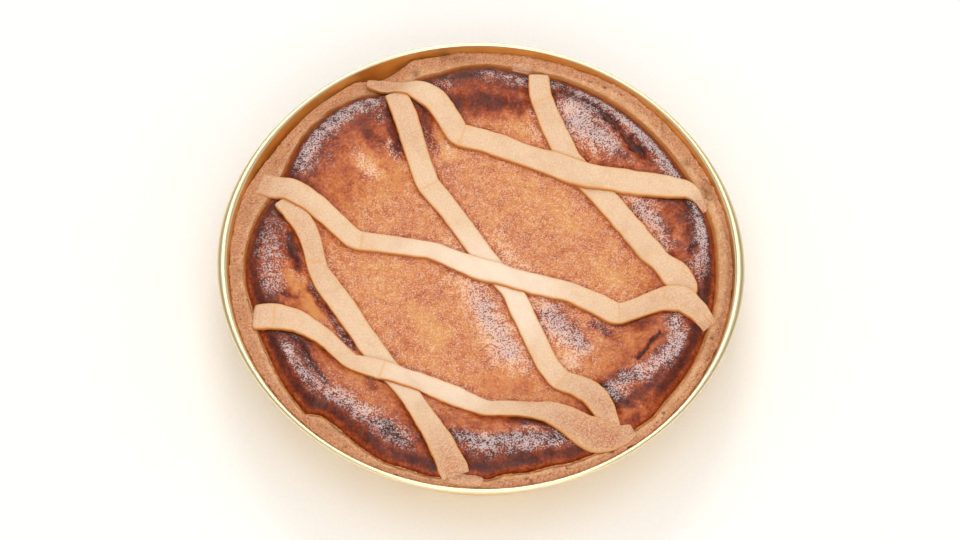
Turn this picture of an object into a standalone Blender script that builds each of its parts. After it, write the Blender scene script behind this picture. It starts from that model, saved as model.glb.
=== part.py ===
"""A pastiera, the Neapolitan grain and ricotta pie, in the round tin it was baked in.

The tin's underside lies on z = 0 and its axis is the Z axis. The pie is seen from -Y,
so "front" is -Y and "left" is -X. Azimuths are in degrees, anticlockwise from +X.
All sizes are in millimetres until make_object turns them to metres.
"""
import math

import bpy
import numpy as np
from mathutils import Vector
from mathutils.bvhtree import BVHTree

MM = 0.001
GAP = 0.3  # clearance between pieces that touch

# Tin: thin aluminium with flared sides and a rolled rim.
TIN_HEIGHT = 40.0
TIN_SHEET = 0.6
TIN_DRAFT = math.radians(20.0)
TIN_MOUTH_RADIUS = 118.6  # inside, where the wall meets the rolled rim
BEAD_HALF_HEIGHT = 1.3
BEAD_HALF_WIDTH = 1.2
BEAD_SPREAD = 1.15  # and this much more at the very left and right
BEAD_SPREAD_POWER = 6  # how quickly the roll narrows away from there
BEAD_TURN = 325.0  # how far round the sheet is rolled
BEAD_STEPS = 9
BASE_FILLET = 3.0
TIN_SEGMENTS = 96

# Pastry case.
CRUST_BASE = 4.0
CRUST_FOOT = 3.0  # rounding where the case's base meets its wall
CRUST_WAIST = 3.4  # from this far below the rim's top the wall follows the tin exactly
RIM_HEIGHT = 36.9  # top of the pastry rim above the table
RIM_RIGHT = 0.3  # the rim stands this much higher on the right, lower on the left
RIM_FRONT = 0.8  # and this much higher at the front, lower at the back
RIM_WAVES = [(0.25, 7, 1.0), (0.2, 13, 2.2)]  # (height, waves round the pie, phase)
RIM_ROUNDING = 0.7
RIM_CROWN = 0.4  # the rim's middle stands this far above its rounded edges
RIM_SHOULDER = 2.2  # depth of the rounding on the outside
RIM_LIP = 1.7  # and on the inside
RIM_LIP_SHARE = 0.6  # but no more than this share of the free inner face
RIM_LEAN = 0.6  # outward lean of the case's free inner face
CONTACT_HEIGHT = 35.2  # where the filling meets the case
SEGMENTS = 128  # round the pie, a multiple of 4

# Filling: a sunken basin inside a puffed roll.
BASIN_HEIGHT = 28.3
BASIN_RADIUS = 66.0
BASIN_EDGE_SOFTNESS = 0.06  # share of the slope over which the basin's edge is rounded
CREST_HEIGHT = 38.4
CREST_INSET = 8.5  # from the case's inner face to the top of the roll
PRESS_DEPTH = 1.1  # how far a strip has sunk into the filling
PRESS_WIDTH = 6.5
GRID_CROWDING = 0.55  # how much the skin's grid is drawn towards the rim
FILLING_FOOT = 2.4  # width and height of the rounding under the filling

# Lattice strips.
STRIP_THICKNESS = 2.4
STRIP_STATION = 5.0
STRIP_BULGE = 0.5  # how far the strip's sides stand out past its underside
STRIP_BULGE_SHARE = 0.4  # and how high up they do, as a share of its thickness
STRIP_SHOULDER = 0.4  # how far in the rounded top edges start
STRIP_SHOULDER_SHARE = 0.88
PATH_SAMPLES = 12  # between two points of a route
DRAPE_PASSES = 7
CLEARANCE_PASSES = 6
SIDE_REACH = 0.8
SEARCH_HEIGHT = 100.0  # from where a vertical search for a surface starts

# Where the filling meets the case: (azimuth, radius).
RIM_INNER_EDGE = [
    (0, 110.0), (10, 110.4), (20, 109.1), (30, 108.1), (45, 108.0), (60, 108.3), (70, 108.7), (79, 107.4),
    (90, 108.8), (97, 107.6), (103, 105.4), (112, 104.9), (121, 105.4), (126, 107.9), (134, 109.4),
    (143, 109.2), (150, 107.1), (156, 105.0), (164, 104.6), (169, 106.9), (176, 109.1), (183, 110.3),
    (190, 110.2), (196, 109.0), (203, 109.6), (210, 110.0), (216, 111.2), (224, 112.6), (227.6, 113.4),
    (229, 111.2), (230.6, 109.2), (234, 108.8), (238, 109.6), (243, 111.4), (249, 113.2), (255, 113.0),
    (260, 113.8), (265, 112.8), (270, 112.0), (273, 113.0), (277, 110.6), (283, 111.2), (288, 110.4),
    (292, 111.8), (298, 112.0), (311, 111.6), (315, 112.2), (320, 110.8), (330, 111.0), (340, 110.4),
    (350, 110.4),
]

# Local changes round the pie: (azimuth, half-width in degrees, change in mm, or in lean).
RIM_LEAN_CHANGES = [(40, 130, 1.4)]
CONTACT_CHANGES = [(116, 11, -5.0), (150, 18, -1.6)]
RIM_HEIGHT_CHANGES = [(116, 9, -4.2), (150, 16, -1.4), (60, 20, 0.5), (190, 45, 0.6), (10, 22, 0.4)]
RIM_OUTER_CHANGES = [
    (116, 10, -2.8),
    (104, 8, -1.4),
    (136, 16, -2.0),
    (154, 14, -1.4),
]
BASIN_CHANGES = [
    (138, 42, -13.0),
    (98, 20, 8.0),
    (194, 26, 10.0),
    (228, 24, 9.0),
    (264, 22, 4.0),
    (300, 24, 5.0),
    (340, 24, 4.0),
    (14, 24, 3.0),
]
CREST_CHANGES = [
    (96, 20, 2.2),
    (49, 27, 1.6),
    (4, 18, 1.4),
    (327, 20, 2.6),
    (282, 20, 2.4),
    (231, 32, 2.6),
    (180, 19, 2.0),
    (138, 23, 1.6),
]

# Folds in the skin of the filling: (points, depth, half-width).
CREASES = [
    ([(38, 92), (52, 84), (62, 76), (70, 66), (78, 56)], 3.2, 4.0),
    ([(96, 36), (99, 22), (99, 9)], 2.4, 3.5),
    ([(84, -38), (78, -45), (71, -52)], 2.4, 4.0),
    ([(-91, -45), (-80, -55), (-70, -66)], 2.2, 4.0),
    ([(-42, -86), (-35, -93), (-28, -98)], 1.6, 3.5),
    ([(-92, 3), (-86, -6), (-84, -13)], 2.4, 3.5),
]

# Lattice routes seen from above: (x, y, width). Three strips lie under three others.
UNDER_STRIPS = {
    "lattice_under_left": [
        (-95, 27, 11), (-89, 20, 11.5), (-83.5, 13, 11.5), (-80.5, 7, 11.3), (-78, -1, 10), (-76.5, -6, 10.5),
        (-72.5, -12.5, 12), (-65, -22.5, 12), (-58.5, -32, 11.5), (-51, -43, 11.5), (-30.5, -71, 10.5),
        (-16.7, -94, 12), (-9.6, -108.5, 13), (-8, -112.3, 12.5),
    ],
    "lattice_under_middle": [
        (-45, 90, 11), (-39, 76, 12), (-34, 62, 12), (-27, 44, 12), (-16, 30, 11), (4, 1, 11),
        (15, -13, 11), (22, -29, 11), (32, -51, 11), (38, -59, 11.5), (47, -64, 12), (54, -71, 12),
        (58, -79, 11), (61, -85, 8), (62, -88, 6),
    ],
    "lattice_under_right": [
        (25, 104, 10), (26, 91, 11), (31, 78, 11), (41, 58, 11), (55, 42, 10.8), (63, 32, 10.8),
        (71.3, 20.6, 10.8), (79.7, 6.9, 10.8), (84.5, 0.5, 9.5), (90.5, -6.5, 14.5), (94.5, -12.7, 13.5),
        (95.5, -18, 11),
    ],
}
OVER_STRIPS = {
    "lattice_over_front": [
        (-104, -36.5, 13), (-93.5, -36.3, 13.5), (-83.5, -37.3, 12.5), (-71.5, -43.5, 10.5),
        (-58.7, -54.5, 10), (-46.7, -57, 10.5), (-40, -59, 10.5), (-25, -63.3, 11), (-10, -69.2, 11.3),
        (5, -76.3, 9.7), (20, -77, 9.7), (33.5, -78.7, 13), (38.5, -81.5, 14), (48, -88.5, 16.5),
        (55, -91, 17), (60, -91.5, 13.5), (65, -90.5, 10),
        (71, -86.5, 6),
    ],
    "lattice_over_middle": [
        (-107, 36.5, 12), (-92, 32, 13), (-80, 25.5, 12), (-60, 11.5, 10.5), (-43.5, 9.8, 10),
        (-22.7, 7.2, 9.5), (-2, -2, 11), (18.6, -7.6, 12), (42, -12.6, 10.5), (56, -19, 12),
        (64, -24, 12), (73, -22, 12), (85, -19, 13), (94, -20, 13), (101, -26, 11), (106.5, -33, 8),
    ],
    "lattice_over_back": [
        (-59, 95, 4), (-50, 95, 9), (-36, 93, 11.5), (-25, 86, 12), (-13, 72, 12), (0, 69, 11.5),
        (30, 58, 11.5), (48, 50, 11.5), (75, 43, 12), (90, 40.5, 12), (97, 40.5, 10), (101, 37.5, 6.5),
        (104, 33, 4), (106, 29, 3),
    ],
}
FLAP_LIFT = 1.2  # the back strip's left end has curled up off the rim
FLAP_LENGTH = 16.0
END_SHARE = 0.4  # thickness left where a strip's end has merged with the rim
MERGED_ENDS = {  # length over which it thins at the route's start and at its end
    "lattice_over_front": (0.0, 20.0),
    "lattice_over_middle": (14.0, 12.0),
    "lattice_over_back": (6.0, 12.0),
    "lattice_under_left": (0.0, 10.0),
}

# Loose bits of dough baked onto the rim: (name, azimuth, radius, length, breadth, turn in degrees).
SCRAPS = [
    ("dough_scrap_back", 81.0, 109.6, 10.5, 6.0, 4.0),
    ("dough_fold_front", 268.2, 114.3, 16.5, 6.2, -2.0),
]
SCRAP_THICKNESS = 1.2
SCRAP_STEPS = 6

MATERIALS = {
    "tin": ("#C89A3C", 0.22, 1.0),
    "crust": ("#CB9468", 0.85, 0.0),
    "filling": ("#B5642F", 0.42, 0.0),
    "lattice": ("#E6C496", 0.75, 0.0),
}


def clear_scene():
    for obj in list(bpy.data.objects):
        bpy.data.objects.remove(obj, do_unlink=True)


def linear_colour(code):
    """The linear RGBA of an sRGB hex colour."""
    parts = [int(code[i:i + 2], 16) / 255 for i in (1, 3, 5)]
    return [p / 12.92 if p <= 0.04045 else ((p + 0.055) / 1.055) ** 2.4 for p in parts] + [1.0]


def make_material(name):
    colour, roughness, metallic = MATERIALS[name]
    material = bpy.data.materials.new(name)
    material.use_nodes = True
    shader = material.node_tree.nodes["Principled BSDF"]
    shader.inputs["Base Color"].default_value = linear_colour(colour)
    shader.inputs["Roughness"].default_value = roughness
    shader.inputs["Metallic"].default_value = metallic
    material.diffuse_color = linear_colour(colour)
    return material


def make_object(name, points, faces, material):
    """A mesh object from points in millimetres."""
    mesh = bpy.data.meshes.new(name)
    mesh.from_pydata([tuple(MM * c for c in p) for p in points], [], faces)
    mesh.materials.append(material)
    mesh.shade_smooth()
    mesh.set_sharp_from_angle(angle=math.radians(40))
    obj = bpy.data.objects.new(name, mesh)
    bpy.context.scene.collection.objects.link(obj)
    return obj


def bump(azimuth, centre, half_width):
    """1 at the centre azimuth, falling smoothly to 0 at the half-width."""
    away = (np.degrees(azimuth) - centre + 180) % 360 - 180
    inside = np.abs(away) < half_width
    return np.where(inside, np.cos(np.pi * away / (2 * half_width)) ** 2, 0.0)


def with_changes(base, azimuth, changes):
    value = base + 0.0 * azimuth
    for centre, half_width, change in changes:
        value = value + change * bump(azimuth, centre, half_width)
    return value


# ---- tin

def tin_inner_radius(z):
    """Inside radius of the flared wall at height z."""
    bead_height = TIN_HEIGHT - BEAD_HALF_HEIGHT
    return TIN_MOUTH_RADIUS - (bead_height - z) * math.tan(TIN_DRAFT)


def fillet_points(corner_radius, floor, radius, steps):
    """Points round the corner between a floor and the flared wall above it."""
    turn = math.pi / 2 - TIN_DRAFT
    reach = radius * math.tan(turn / 2)
    centre = (corner_radius - reach, floor + radius)
    angles = [-math.pi / 2 + turn * i / steps for i in range(steps + 1)]
    return [(centre[0] + radius * math.cos(a), centre[1] + radius * math.sin(a)) for a in angles]


def build_tin(material):
    """Rings from under the floor, up the outside, over the rolled rim and down the inside."""
    azimuth = np.arange(TIN_SEGMENTS) * 2 * np.pi / TIN_SEGMENTS
    half_width = BEAD_HALF_WIDTH + BEAD_SPREAD * np.cos(azimuth) ** BEAD_SPREAD_POWER
    wall = TIN_SHEET / math.cos(TIN_DRAFT)
    outer = fillet_points(tin_inner_radius(0.0) + wall, 0.0, BASE_FILLET + TIN_SHEET, 2)
    inner = fillet_points(tin_inner_radius(TIN_SHEET), TIN_SHEET, BASE_FILLET, 2)
    rings = [ring(azimuth, r, z) for r, z in outer]
    for i in range(BEAD_STEPS, -1, -1):
        turn = math.radians(180.0 - BEAD_TURN * i / BEAD_STEPS)
        radius = TIN_MOUTH_RADIUS + half_width * (1 + math.cos(turn))
        rings.append(ring(azimuth, radius, TIN_HEIGHT + BEAD_HALF_HEIGHT * (math.sin(turn) - 1)))
    rings += [ring(azimuth, r, z) for r, z in inner[::-1]]
    points, faces = loft(rings)
    return make_object("tin", points, faces, material)


# ---- pastry case

def rim_inner_radius(azimuth):
    """Radius at which the filling meets the case."""
    places, radii = zip(*RIM_INNER_EDGE)
    return np.interp(np.degrees(azimuth) % 360, places, radii, period=360)


def rim_height(azimuth):
    """Height of the rough top of the rim, its slow tilt and its waves."""
    level = RIM_HEIGHT + RIM_RIGHT * np.cos(azimuth) - RIM_FRONT * np.sin(azimuth)
    for height, count, phase in RIM_WAVES:
        level = level + height * np.sin(count * azimuth + phase)
    return with_changes(level, azimuth, RIM_HEIGHT_CHANGES)


def contact_height(azimuth):
    """Height at which the filling meets the case."""
    return with_changes(CONTACT_HEIGHT, azimuth, CONTACT_CHANGES)


def rim_outer_shrink(azimuth):
    """How far the rim's outer edge has drawn in from the tin, as a negative length."""
    return with_changes(0.0, azimuth, RIM_OUTER_CHANGES)


def ring(azimuth, radius, z):
    """Points round the pie at the given radius and height."""
    radius = radius + 0.0 * azimuth
    z = z + 0.0 * azimuth
    return np.stack([radius * np.cos(azimuth), radius * np.sin(azimuth), z], axis=1)


def loft(rings):
    """Points and faces of a closed solid through rings of equal count, capped at both ends."""
    count = len(rings[0])
    points = np.concatenate(rings)
    faces = [tuple(range(count))[::-1]]
    for k in range(len(rings) - 1):
        for i in range(count):
            j = (i + 1) % count
            low, high = k * count, (k + 1) * count
            faces.append((low + i, low + j, high + j, high + i))
    faces.append(tuple(range(len(points) - count, len(points))))
    return points, faces


def build_crust(azimuth, material):
    """A case of short pastry: flat base, wall against the tin, rough rounded rim."""
    base = TIN_SHEET + GAP
    floor = base + CRUST_BASE
    top = rim_height(azimuth)
    shrink = rim_outer_shrink(azimuth)
    inner = rim_inner_radius(azimuth)
    contact = contact_height(azimuth)
    slope = math.tan(TIN_DRAFT)

    def outer(z):
        below_bead = np.minimum(z, TIN_HEIGHT - BEAD_HALF_HEIGHT)
        return tin_inner_radius(below_bead) - GAP / math.cos(TIN_DRAFT)

    def inner_below(z):
        return inner - (contact - z) * slope

    lean = with_changes(RIM_LEAN, azimuth, RIM_LEAN_CHANGES)
    free_face = inner + lean * (top - contact)
    lip = np.minimum(RIM_LIP, RIM_LIP_SHARE * (top - contact))
    edge = outer(top) + shrink
    crown = (edge + free_face) / 2
    rings = [
        ring(azimuth, outer(base) - CRUST_FOOT, base),
        ring(azimuth, outer(base + CRUST_FOOT), base + CRUST_FOOT),
        ring(azimuth, outer(top - CRUST_WAIST), top - CRUST_WAIST),
        ring(azimuth, outer(top - RIM_SHOULDER) + shrink, top - RIM_SHOULDER),
        ring(azimuth, edge - RIM_ROUNDING, top - RIM_CROWN),
        ring(azimuth, crown, top),
        ring(azimuth, free_face + RIM_ROUNDING, top - RIM_CROWN),
        ring(azimuth, free_face - lean * lip, top - lip),
        ring(azimuth, inner, contact),
        ring(azimuth, inner_below(floor + FILLING_FOOT), floor + FILLING_FOOT),
        ring(azimuth, inner_below(floor) - FILLING_FOOT, floor),
    ]
    points, faces = loft(rings)
    return make_object("crust", points, faces, material), (points, faces)


# ---- filling

def distance_to_path(x, y, path):
    """Shortest distance in plan from each (x, y) to a path of straight runs."""
    nearest = np.full(np.shape(x), np.inf)
    for (x0, y0), (x1, y1) in zip(path, path[1:]):
        run = np.hypot(x1 - x0, y1 - y0)
        along = np.clip(((x - x0) * (x1 - x0) + (y - y0) * (y1 - y0)) / run ** 2, 0, 1)
        gap = np.hypot(x - x0 - along * (x1 - x0), y - y0 - along * (y1 - y0))
        nearest = np.minimum(nearest, gap)
    return nearest


def filling_height(x, y):
    """Height of the filling's skin above the table."""
    radius = np.hypot(x, y)
    azimuth = np.arctan2(y, x)
    edge = rim_inner_radius(azimuth) - GAP
    crest_radius = edge - CREST_INSET
    crest = with_changes(CREST_HEIGHT, azimuth, CREST_CHANGES)
    basin = with_changes(BASIN_RADIUS, azimuth, BASIN_CHANGES)
    climb = (radius - basin) / (crest_radius - basin)
    climb = BASIN_EDGE_SOFTNESS * np.logaddexp(0, climb / BASIN_EDGE_SOFTNESS)
    climb = np.sin(np.pi / 2 * np.clip(climb, 0, 1))
    drop = np.clip((radius - crest_radius) / (edge - crest_radius), 0, 1)
    inside = BASIN_HEIGHT + (crest - BASIN_HEIGHT) * climb
    contact = contact_height(azimuth)
    outside = contact + (crest - contact) * np.sqrt(1 - drop ** 2)
    height = np.where(radius < crest_radius, inside, outside)
    free = np.clip((edge - radius) / CREST_INSET, 0, 1)  # 0 where the skin meets the case
    for path, depth, half_width in CREASES:
        height = height - free * depth * np.exp(-(distance_to_path(x, y, path) / half_width) ** 2)
    for route in (UNDER_STRIPS | OVER_STRIPS).values():
        path = [(x0, y0) for x0, y0, _ in route]
        height = height - free * PRESS_DEPTH * np.exp(-(distance_to_path(x, y, path) / PRESS_WIDTH) ** 2)
    return height


def disc_grid(count):
    """A square grid bent to a unit disc: (radius, azimuth) of count + 1 by count + 1 points."""
    side = np.linspace(-1, 1, count + 1)
    a, b = np.meshgrid(side, side, indexing="ij")
    wide = np.abs(a) >= np.abs(b)
    major = np.where(wide, a, b)
    minor = np.where(wide, b, a)
    turn = np.divide(minor, major, out=np.zeros_like(a), where=major != 0) * np.pi / 4
    azimuth = np.where(wide, turn, np.pi / 2 - turn) + np.where(major < 0, np.pi, 0)
    return np.abs(major), azimuth


def grid_border(count):
    """Indices of a square grid's outer points, anticlockwise from the middle of its +a side."""
    last = count
    loop = [(last, j) for j in range(count // 2, last)]
    loop += [(i, last) for i in range(last, 0, -1)]
    loop += [(0, j) for j in range(last, 0, -1)]
    loop += [(i, 0) for i in range(0, last)]
    loop += [(last, j) for j in range(0, count // 2)]
    return [i * (count + 1) + j for i, j in loop]


def build_filling(material):
    """One solid that fills the case, its skin on a grid with no pole and finer at the rim."""
    count = SEGMENTS // 4
    share, azimuth = disc_grid(count)
    share = (1 - GRID_CROWDING) * share + GRID_CROWDING * np.sin(np.pi / 2 * share)
    radius = share * (rim_inner_radius(azimuth) - GAP)
    x, y = radius * np.cos(azimuth), radius * np.sin(azimuth)
    skin = np.stack([x, y, filling_height(x, y)], axis=2).reshape(-1, 3)
    cell = count + 1
    faces = [
        (i * cell + j, (i + 1) * cell + j, (i + 1) * cell + j + 1, i * cell + j + 1)
        for i in range(count)
        for j in range(count)
    ]
    border = grid_border(count)
    bottom = TIN_SHEET + CRUST_BASE + 2 * GAP
    around = np.arctan2(skin[border, 1], skin[border, 0])
    inner = rim_inner_radius(around)
    contact = contact_height(around)
    slope = math.tan(TIN_DRAFT)
    heights = [bottom + FILLING_FOOT, bottom]
    insets = [GAP, FILLING_FOOT + GAP]
    points = [skin]
    above = border
    for z, inset in zip(heights, insets):
        start = sum(len(p) for p in points)
        points.append(ring(around, inner - (contact - z) * slope - inset, z))
        below = list(range(start, start + len(border)))
        for i in range(len(border)):
            j = (i + 1) % len(border)
            faces.append((above[j], above[i], below[i], below[j]))
        above = below
    faces.append(tuple(above[::-1]))
    points = np.concatenate(points)
    return make_object("filling", points, faces, material), (points, faces)


# ---- lattice

def smooth_path(route, spacing):
    """Evenly spaced (x, y, width) stations on a smooth curve through the route's points."""
    knots = np.array(route, float)
    knots = np.vstack([2 * knots[0] - knots[1], knots, 2 * knots[-1] - knots[-2]])
    fine = []
    for before, start, end, after in zip(knots, knots[1:], knots[2:], knots[3:]):
        for t in np.linspace(0, 1, PATH_SAMPLES, endpoint=False):
            bend = (2 * before - 5 * start + 4 * end - after) * t ** 2
            twist = (3 * start - before - 3 * end + after) * t ** 3
            fine.append(0.5 * (2 * start + (end - before) * t + bend + twist))
    fine = np.array(fine + [knots[-2]])
    along = np.concatenate([[0], np.cumsum(np.hypot(*np.diff(fine[:, :2], axis=0).T))])
    stops = np.linspace(0, along[-1], round(along[-1] / spacing) + 1)
    return np.stack([np.interp(stops, along, fine[:, k]) for k in range(3)], axis=1), stops


def tree_of(solids):
    """A search tree over the surfaces of several solids."""
    points, faces = [], []
    for solid_points, solid_faces in solids:
        start = len(points)
        points += [Vector(p) for p in solid_points]
        faces += [tuple(start + i for i in face) for face in solid_faces]
    return BVHTree.FromPolygons(points, faces)


def support_height(tree, x, y):
    """The highest surface under (x, y) and just round it, so that a strip's side clears a wall."""
    highest = TIN_SHEET
    for dx, dy in ((0, 0), (SIDE_REACH, 0), (-SIDE_REACH, 0), (0, SIDE_REACH), (0, -SIDE_REACH)):
        hit = tree.ray_cast(Vector((x + dx, y + dy, SEARCH_HEIGHT)), Vector((0, 0, -1)))
        if hit[0]:
            highest = max(highest, hit[0].z)
    return highest


def raise_clear(tree, x, y, z):
    """Lift the underside wherever it comes too near what carries it between its points."""
    shares = (0.0, 0.25, 0.5, 0.75, 1.0)
    for i in range(z.shape[0] - 1):
        for j in range(z.shape[1] - 1):
            corners = (slice(i, i + 2), slice(j, j + 2))
            for s in shares:
                for t in shares:
                    weights = np.outer([1 - s, s], [1 - t, t])
                    place = [(weights * grid[corners]).sum() for grid in (x, y, z)]
                    short = support_height(tree, place[0], place[1]) + GAP - place[2]
                    if short > 0:
                        z[corners] += short
    return z


def drape(tree, stations, directions):
    """The underside of a strip laid over what carries it, pulled a little taut."""
    across = np.stack([-directions[:, 1], directions[:, 0]], axis=1)
    offsets = np.array([-0.5, 0.0, 0.5])
    reach = (stations[:, 2] - 2 * STRIP_BULGE)[:, None] * offsets
    x = stations[:, :1] + reach * across[:, :1]
    y = stations[:, 1:2] + reach * across[:, 1:]
    support = np.array([[support_height(tree, a, b) for a, b in zip(*row)] for row in zip(x, y)])
    z = support + GAP
    for _ in range(DRAPE_PASSES):
        z[1:-1] = np.maximum(z[1:-1], (z[:-2] + z[2:]) / 2)
        z[:, 1] = np.maximum(z[:, 1], (z[:, 0] + z[:, 2]) / 2)
    for _ in range(CLEARANCE_PASSES):
        raise_clear(tree, x, y, z)
    return np.stack([x, y, z], axis=2), across


def strip_section(under, across, high):
    """Eight points round the strip at one station, from its three underside points."""
    left, middle, right = under
    side = np.array([across[0], across[1], 0.0])
    tilt = (right - left) / np.linalg.norm(right - left)
    up = np.array([0.0, 0.0, 1.0]) - tilt * tilt[2]
    up /= np.linalg.norm(up)
    bulge = STRIP_BULGE * side
    shoulder = STRIP_SHOULDER * side
    bulge_lift = STRIP_BULGE_SHARE * high * up
    shoulder_lift = STRIP_SHOULDER_SHARE * high * up
    return [
        left, middle, right,
        right + bulge + bulge_lift,
        right - shoulder + shoulder_lift,
        middle + high * up,
        left + shoulder + shoulder_lift,
        left - bulge + bulge_lift,
    ]


def strip_thickness(name, stops):
    """Thickness at each station, thinned where an end has merged with the rim."""
    high = np.full(len(stops), STRIP_THICKNESS)
    for length, away in zip(MERGED_ENDS.get(name, (0.0, 0.0)), (stops, stops[-1] - stops)):
        if length:
            high *= END_SHARE + (1 - END_SHARE) * np.clip(away / length, 0, 1)
    return high


def build_strip(name, route, carriers, material):
    """A flat ribbon of dough laid over the filling and, at its ends, the rim."""
    stations, stops = smooth_path(route, STRIP_STATION)
    directions = np.gradient(stations[:, :2], axis=0)
    directions /= np.linalg.norm(directions, axis=1)[:, None]
    under, across = drape(tree_of(carriers), stations, directions)
    if name == "lattice_over_back":
        lift = FLAP_LIFT * np.clip(1 - stops / FLAP_LENGTH, 0, 1) ** 1.5
        under[:, :, 2] += lift[:, None]
    high = strip_thickness(name, stops)
    sections = [np.array(strip_section(*station)) for station in zip(under, across, high)]
    points, faces = loft(sections)
    return make_object(name, points, faces, material), (points, faces)


def build_scrap(name, azimuth, radius, length, breadth, turn, carriers, material):
    """A small flat bit of dough lying on the rim."""
    tree = tree_of(carriers)
    centre_angle = math.radians(azimuth)
    centre = np.array([math.cos(centre_angle), math.sin(centre_angle)]) * radius
    along_angle = centre_angle + math.pi / 2 + math.radians(turn)
    along = np.array([math.cos(along_angle), math.sin(along_angle)])
    outward = np.array([-along[1], along[0]])
    corners = [(i / SCRAP_STEPS - 0.5, j / 2 - 0.5) for i in range(SCRAP_STEPS + 1) for j in range(3)]
    plan = np.array([centre + u * length * along + v * breadth * outward for u, v in corners])
    under = max(support_height(tree, x, y) for x, y in plan) + GAP
    rows = plan.reshape(SCRAP_STEPS + 1, 3, 2)
    sections = []
    for row in rows:
        low = [(x, y, under) for x, y in row]
        high = [(x, y, under + SCRAP_THICKNESS) for x, y in row[::-1]]
        sections.append(np.array(low + high))
    points, faces = loft(sections)
    return make_object(name, points, faces, material), (points, faces)


def main():
    clear_scene()
    materials = {name: make_material(name) for name in MATERIALS}
    azimuth = np.arange(SEGMENTS) * 2 * np.pi / SEGMENTS
    build_tin(materials["tin"])
    _, crust = build_crust(azimuth, materials["crust"])
    _, filling = build_filling(materials["filling"])
    carriers = [crust, filling]
    under = []
    for name, route in UNDER_STRIPS.items():
        under.append(build_strip(name, route, carriers, materials["lattice"])[1])
    over = []
    for name, route in OVER_STRIPS.items():
        over.append(build_strip(name, route, carriers + under, materials["lattice"])[1])
    for scrap in SCRAPS:
        build_scrap(*scrap, carriers + under + over, materials["lattice"])


main()
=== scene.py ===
import math

import bpy
import numpy as np
from mathutils import Matrix, Vector, noise
from mathutils.bvhtree import BVHTree


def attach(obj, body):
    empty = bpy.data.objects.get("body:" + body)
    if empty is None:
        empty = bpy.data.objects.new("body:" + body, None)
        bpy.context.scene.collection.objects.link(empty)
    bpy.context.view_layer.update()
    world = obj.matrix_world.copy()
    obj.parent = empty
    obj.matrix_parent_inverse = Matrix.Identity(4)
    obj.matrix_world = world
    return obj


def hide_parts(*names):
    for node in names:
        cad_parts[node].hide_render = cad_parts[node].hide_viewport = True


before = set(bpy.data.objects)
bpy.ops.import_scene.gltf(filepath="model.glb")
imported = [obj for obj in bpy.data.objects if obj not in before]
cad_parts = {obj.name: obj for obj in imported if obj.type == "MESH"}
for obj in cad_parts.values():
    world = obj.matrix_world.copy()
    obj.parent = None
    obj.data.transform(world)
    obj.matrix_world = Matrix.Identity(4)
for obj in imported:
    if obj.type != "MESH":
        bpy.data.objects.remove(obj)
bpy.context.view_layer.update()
print("frame loaded,", len(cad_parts), "nodes")

# Shapes are worked out in millimetres and turned to metres as their meshes are made.
# Azimuths in the dictionaries are in degrees, anticlockwise from +X. The photo looks from -Y.
mm = 0.001


def hexColour(code):
    parts = [int(code[i:i + 2], 16) / 255 for i in (1, 3, 5)]
    return [p / 12.92 if p <= 0.04045 else ((p + 0.055) / 1.055) ** 2.4 for p in parts] + [1.0]


def setInputs(tree, node, inputs):
    # inputs are values or the outputs of other nodes, by socket
    for socket, value in inputs.items():
        if isinstance(value, bpy.types.NodeSocket):
            tree.links.new(value, node.inputs[socket])
        else:
            node.inputs[socket].default_value = value


def addNode(tree, kind, inputs=None, stops=None, **settings):
    # stops are the (place, hex colour) pairs of a colour ramp
    node = tree.nodes.new(kind)
    for key, value in settings.items():
        setattr(node, key, value)
    setInputs(tree, node, inputs or {})
    for place, code in stops or []:
        element = node.color_ramp.elements.new(place)
        element.color = hexColour(code)
    if stops:
        # a new ramp has a stop at each end; both go, so none of those given stands at exactly 0 or 1
        node.color_ramp.elements.remove(node.color_ramp.elements[0])
        node.color_ramp.elements.remove(node.color_ramp.elements[-1])
    return node


def newMaterial(name):
    material = bpy.data.materials.new(name)
    material.use_nodes = True
    tree = material.node_tree
    tree.nodes.clear()
    shader = addNode(tree, "ShaderNodeBsdfPrincipled")
    addNode(tree, "ShaderNodeOutputMaterial", {0: shader.outputs[0]})
    place = addNode(tree, "ShaderNodeTexCoord").outputs["Object"]
    return material, tree, shader, place


def perMetre(size):
    # a noise scale whose features are about this many millimetres across
    return 1 / (size * mm)


def lumps(points, size, octaves=3, shift=0.0):
    # smooth random heights at points, about -1 to 1, with bumps of that size; each shift gives others
    places = (points.reshape(-1, 3) / size + shift).tolist()
    heights = [noise.fractal(place, 1.0, 2.0, octaves) for place in places]
    return np.array(heights).reshape(points.shape[:-1])


def smoothStep(value, low, high):
    t = np.clip((value - low) / (high - low), 0, 1)
    return t * t * (3 - 2 * t)


def bump(azimuth, centre, halfWidth):
    # 1 at the centre and 0 from the half-width on; azimuth is in radians, the other two in degrees
    away = (np.degrees(azimuth) - centre + 180) % 360 - 180
    return np.where(np.abs(away) < halfWidth, np.cos(np.pi * away / (2 * halfWidth)) ** 2, 0.0)


def withChanges(base, azimuth, changes):
    # changes are (azimuth, half-width, how much), like small hills on a level that runs round
    value = base + 0.0 * azimuth
    for centre, halfWidth, change in changes:
        value = value + change * bump(azimuth, centre, halfWidth)
    return value


def nearestOnPath(x, y, path):
    # distance to a path of (x, y, value) points, and the value at its nearest place
    nearest, found = np.full(np.shape(x), np.inf), np.zeros(np.shape(x))
    path = path if len(path) > 1 else path * 2
    for (x0, y0, value0), (x1, y1, value1) in zip(path, path[1:]):
        run = max((x1 - x0) ** 2 + (y1 - y0) ** 2, 1e-9)
        along = np.clip(((x - x0) * (x1 - x0) + (y - y0) * (y1 - y0)) / run, 0, 1)
        away = np.hypot(x - x0 - along * (x1 - x0), y - y0 - along * (y1 - y0))
        closer = away < nearest
        nearest = np.where(closer, away, nearest)
        found = np.where(closer, value0 + along * (value1 - value0), found)
    return nearest, found


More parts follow.
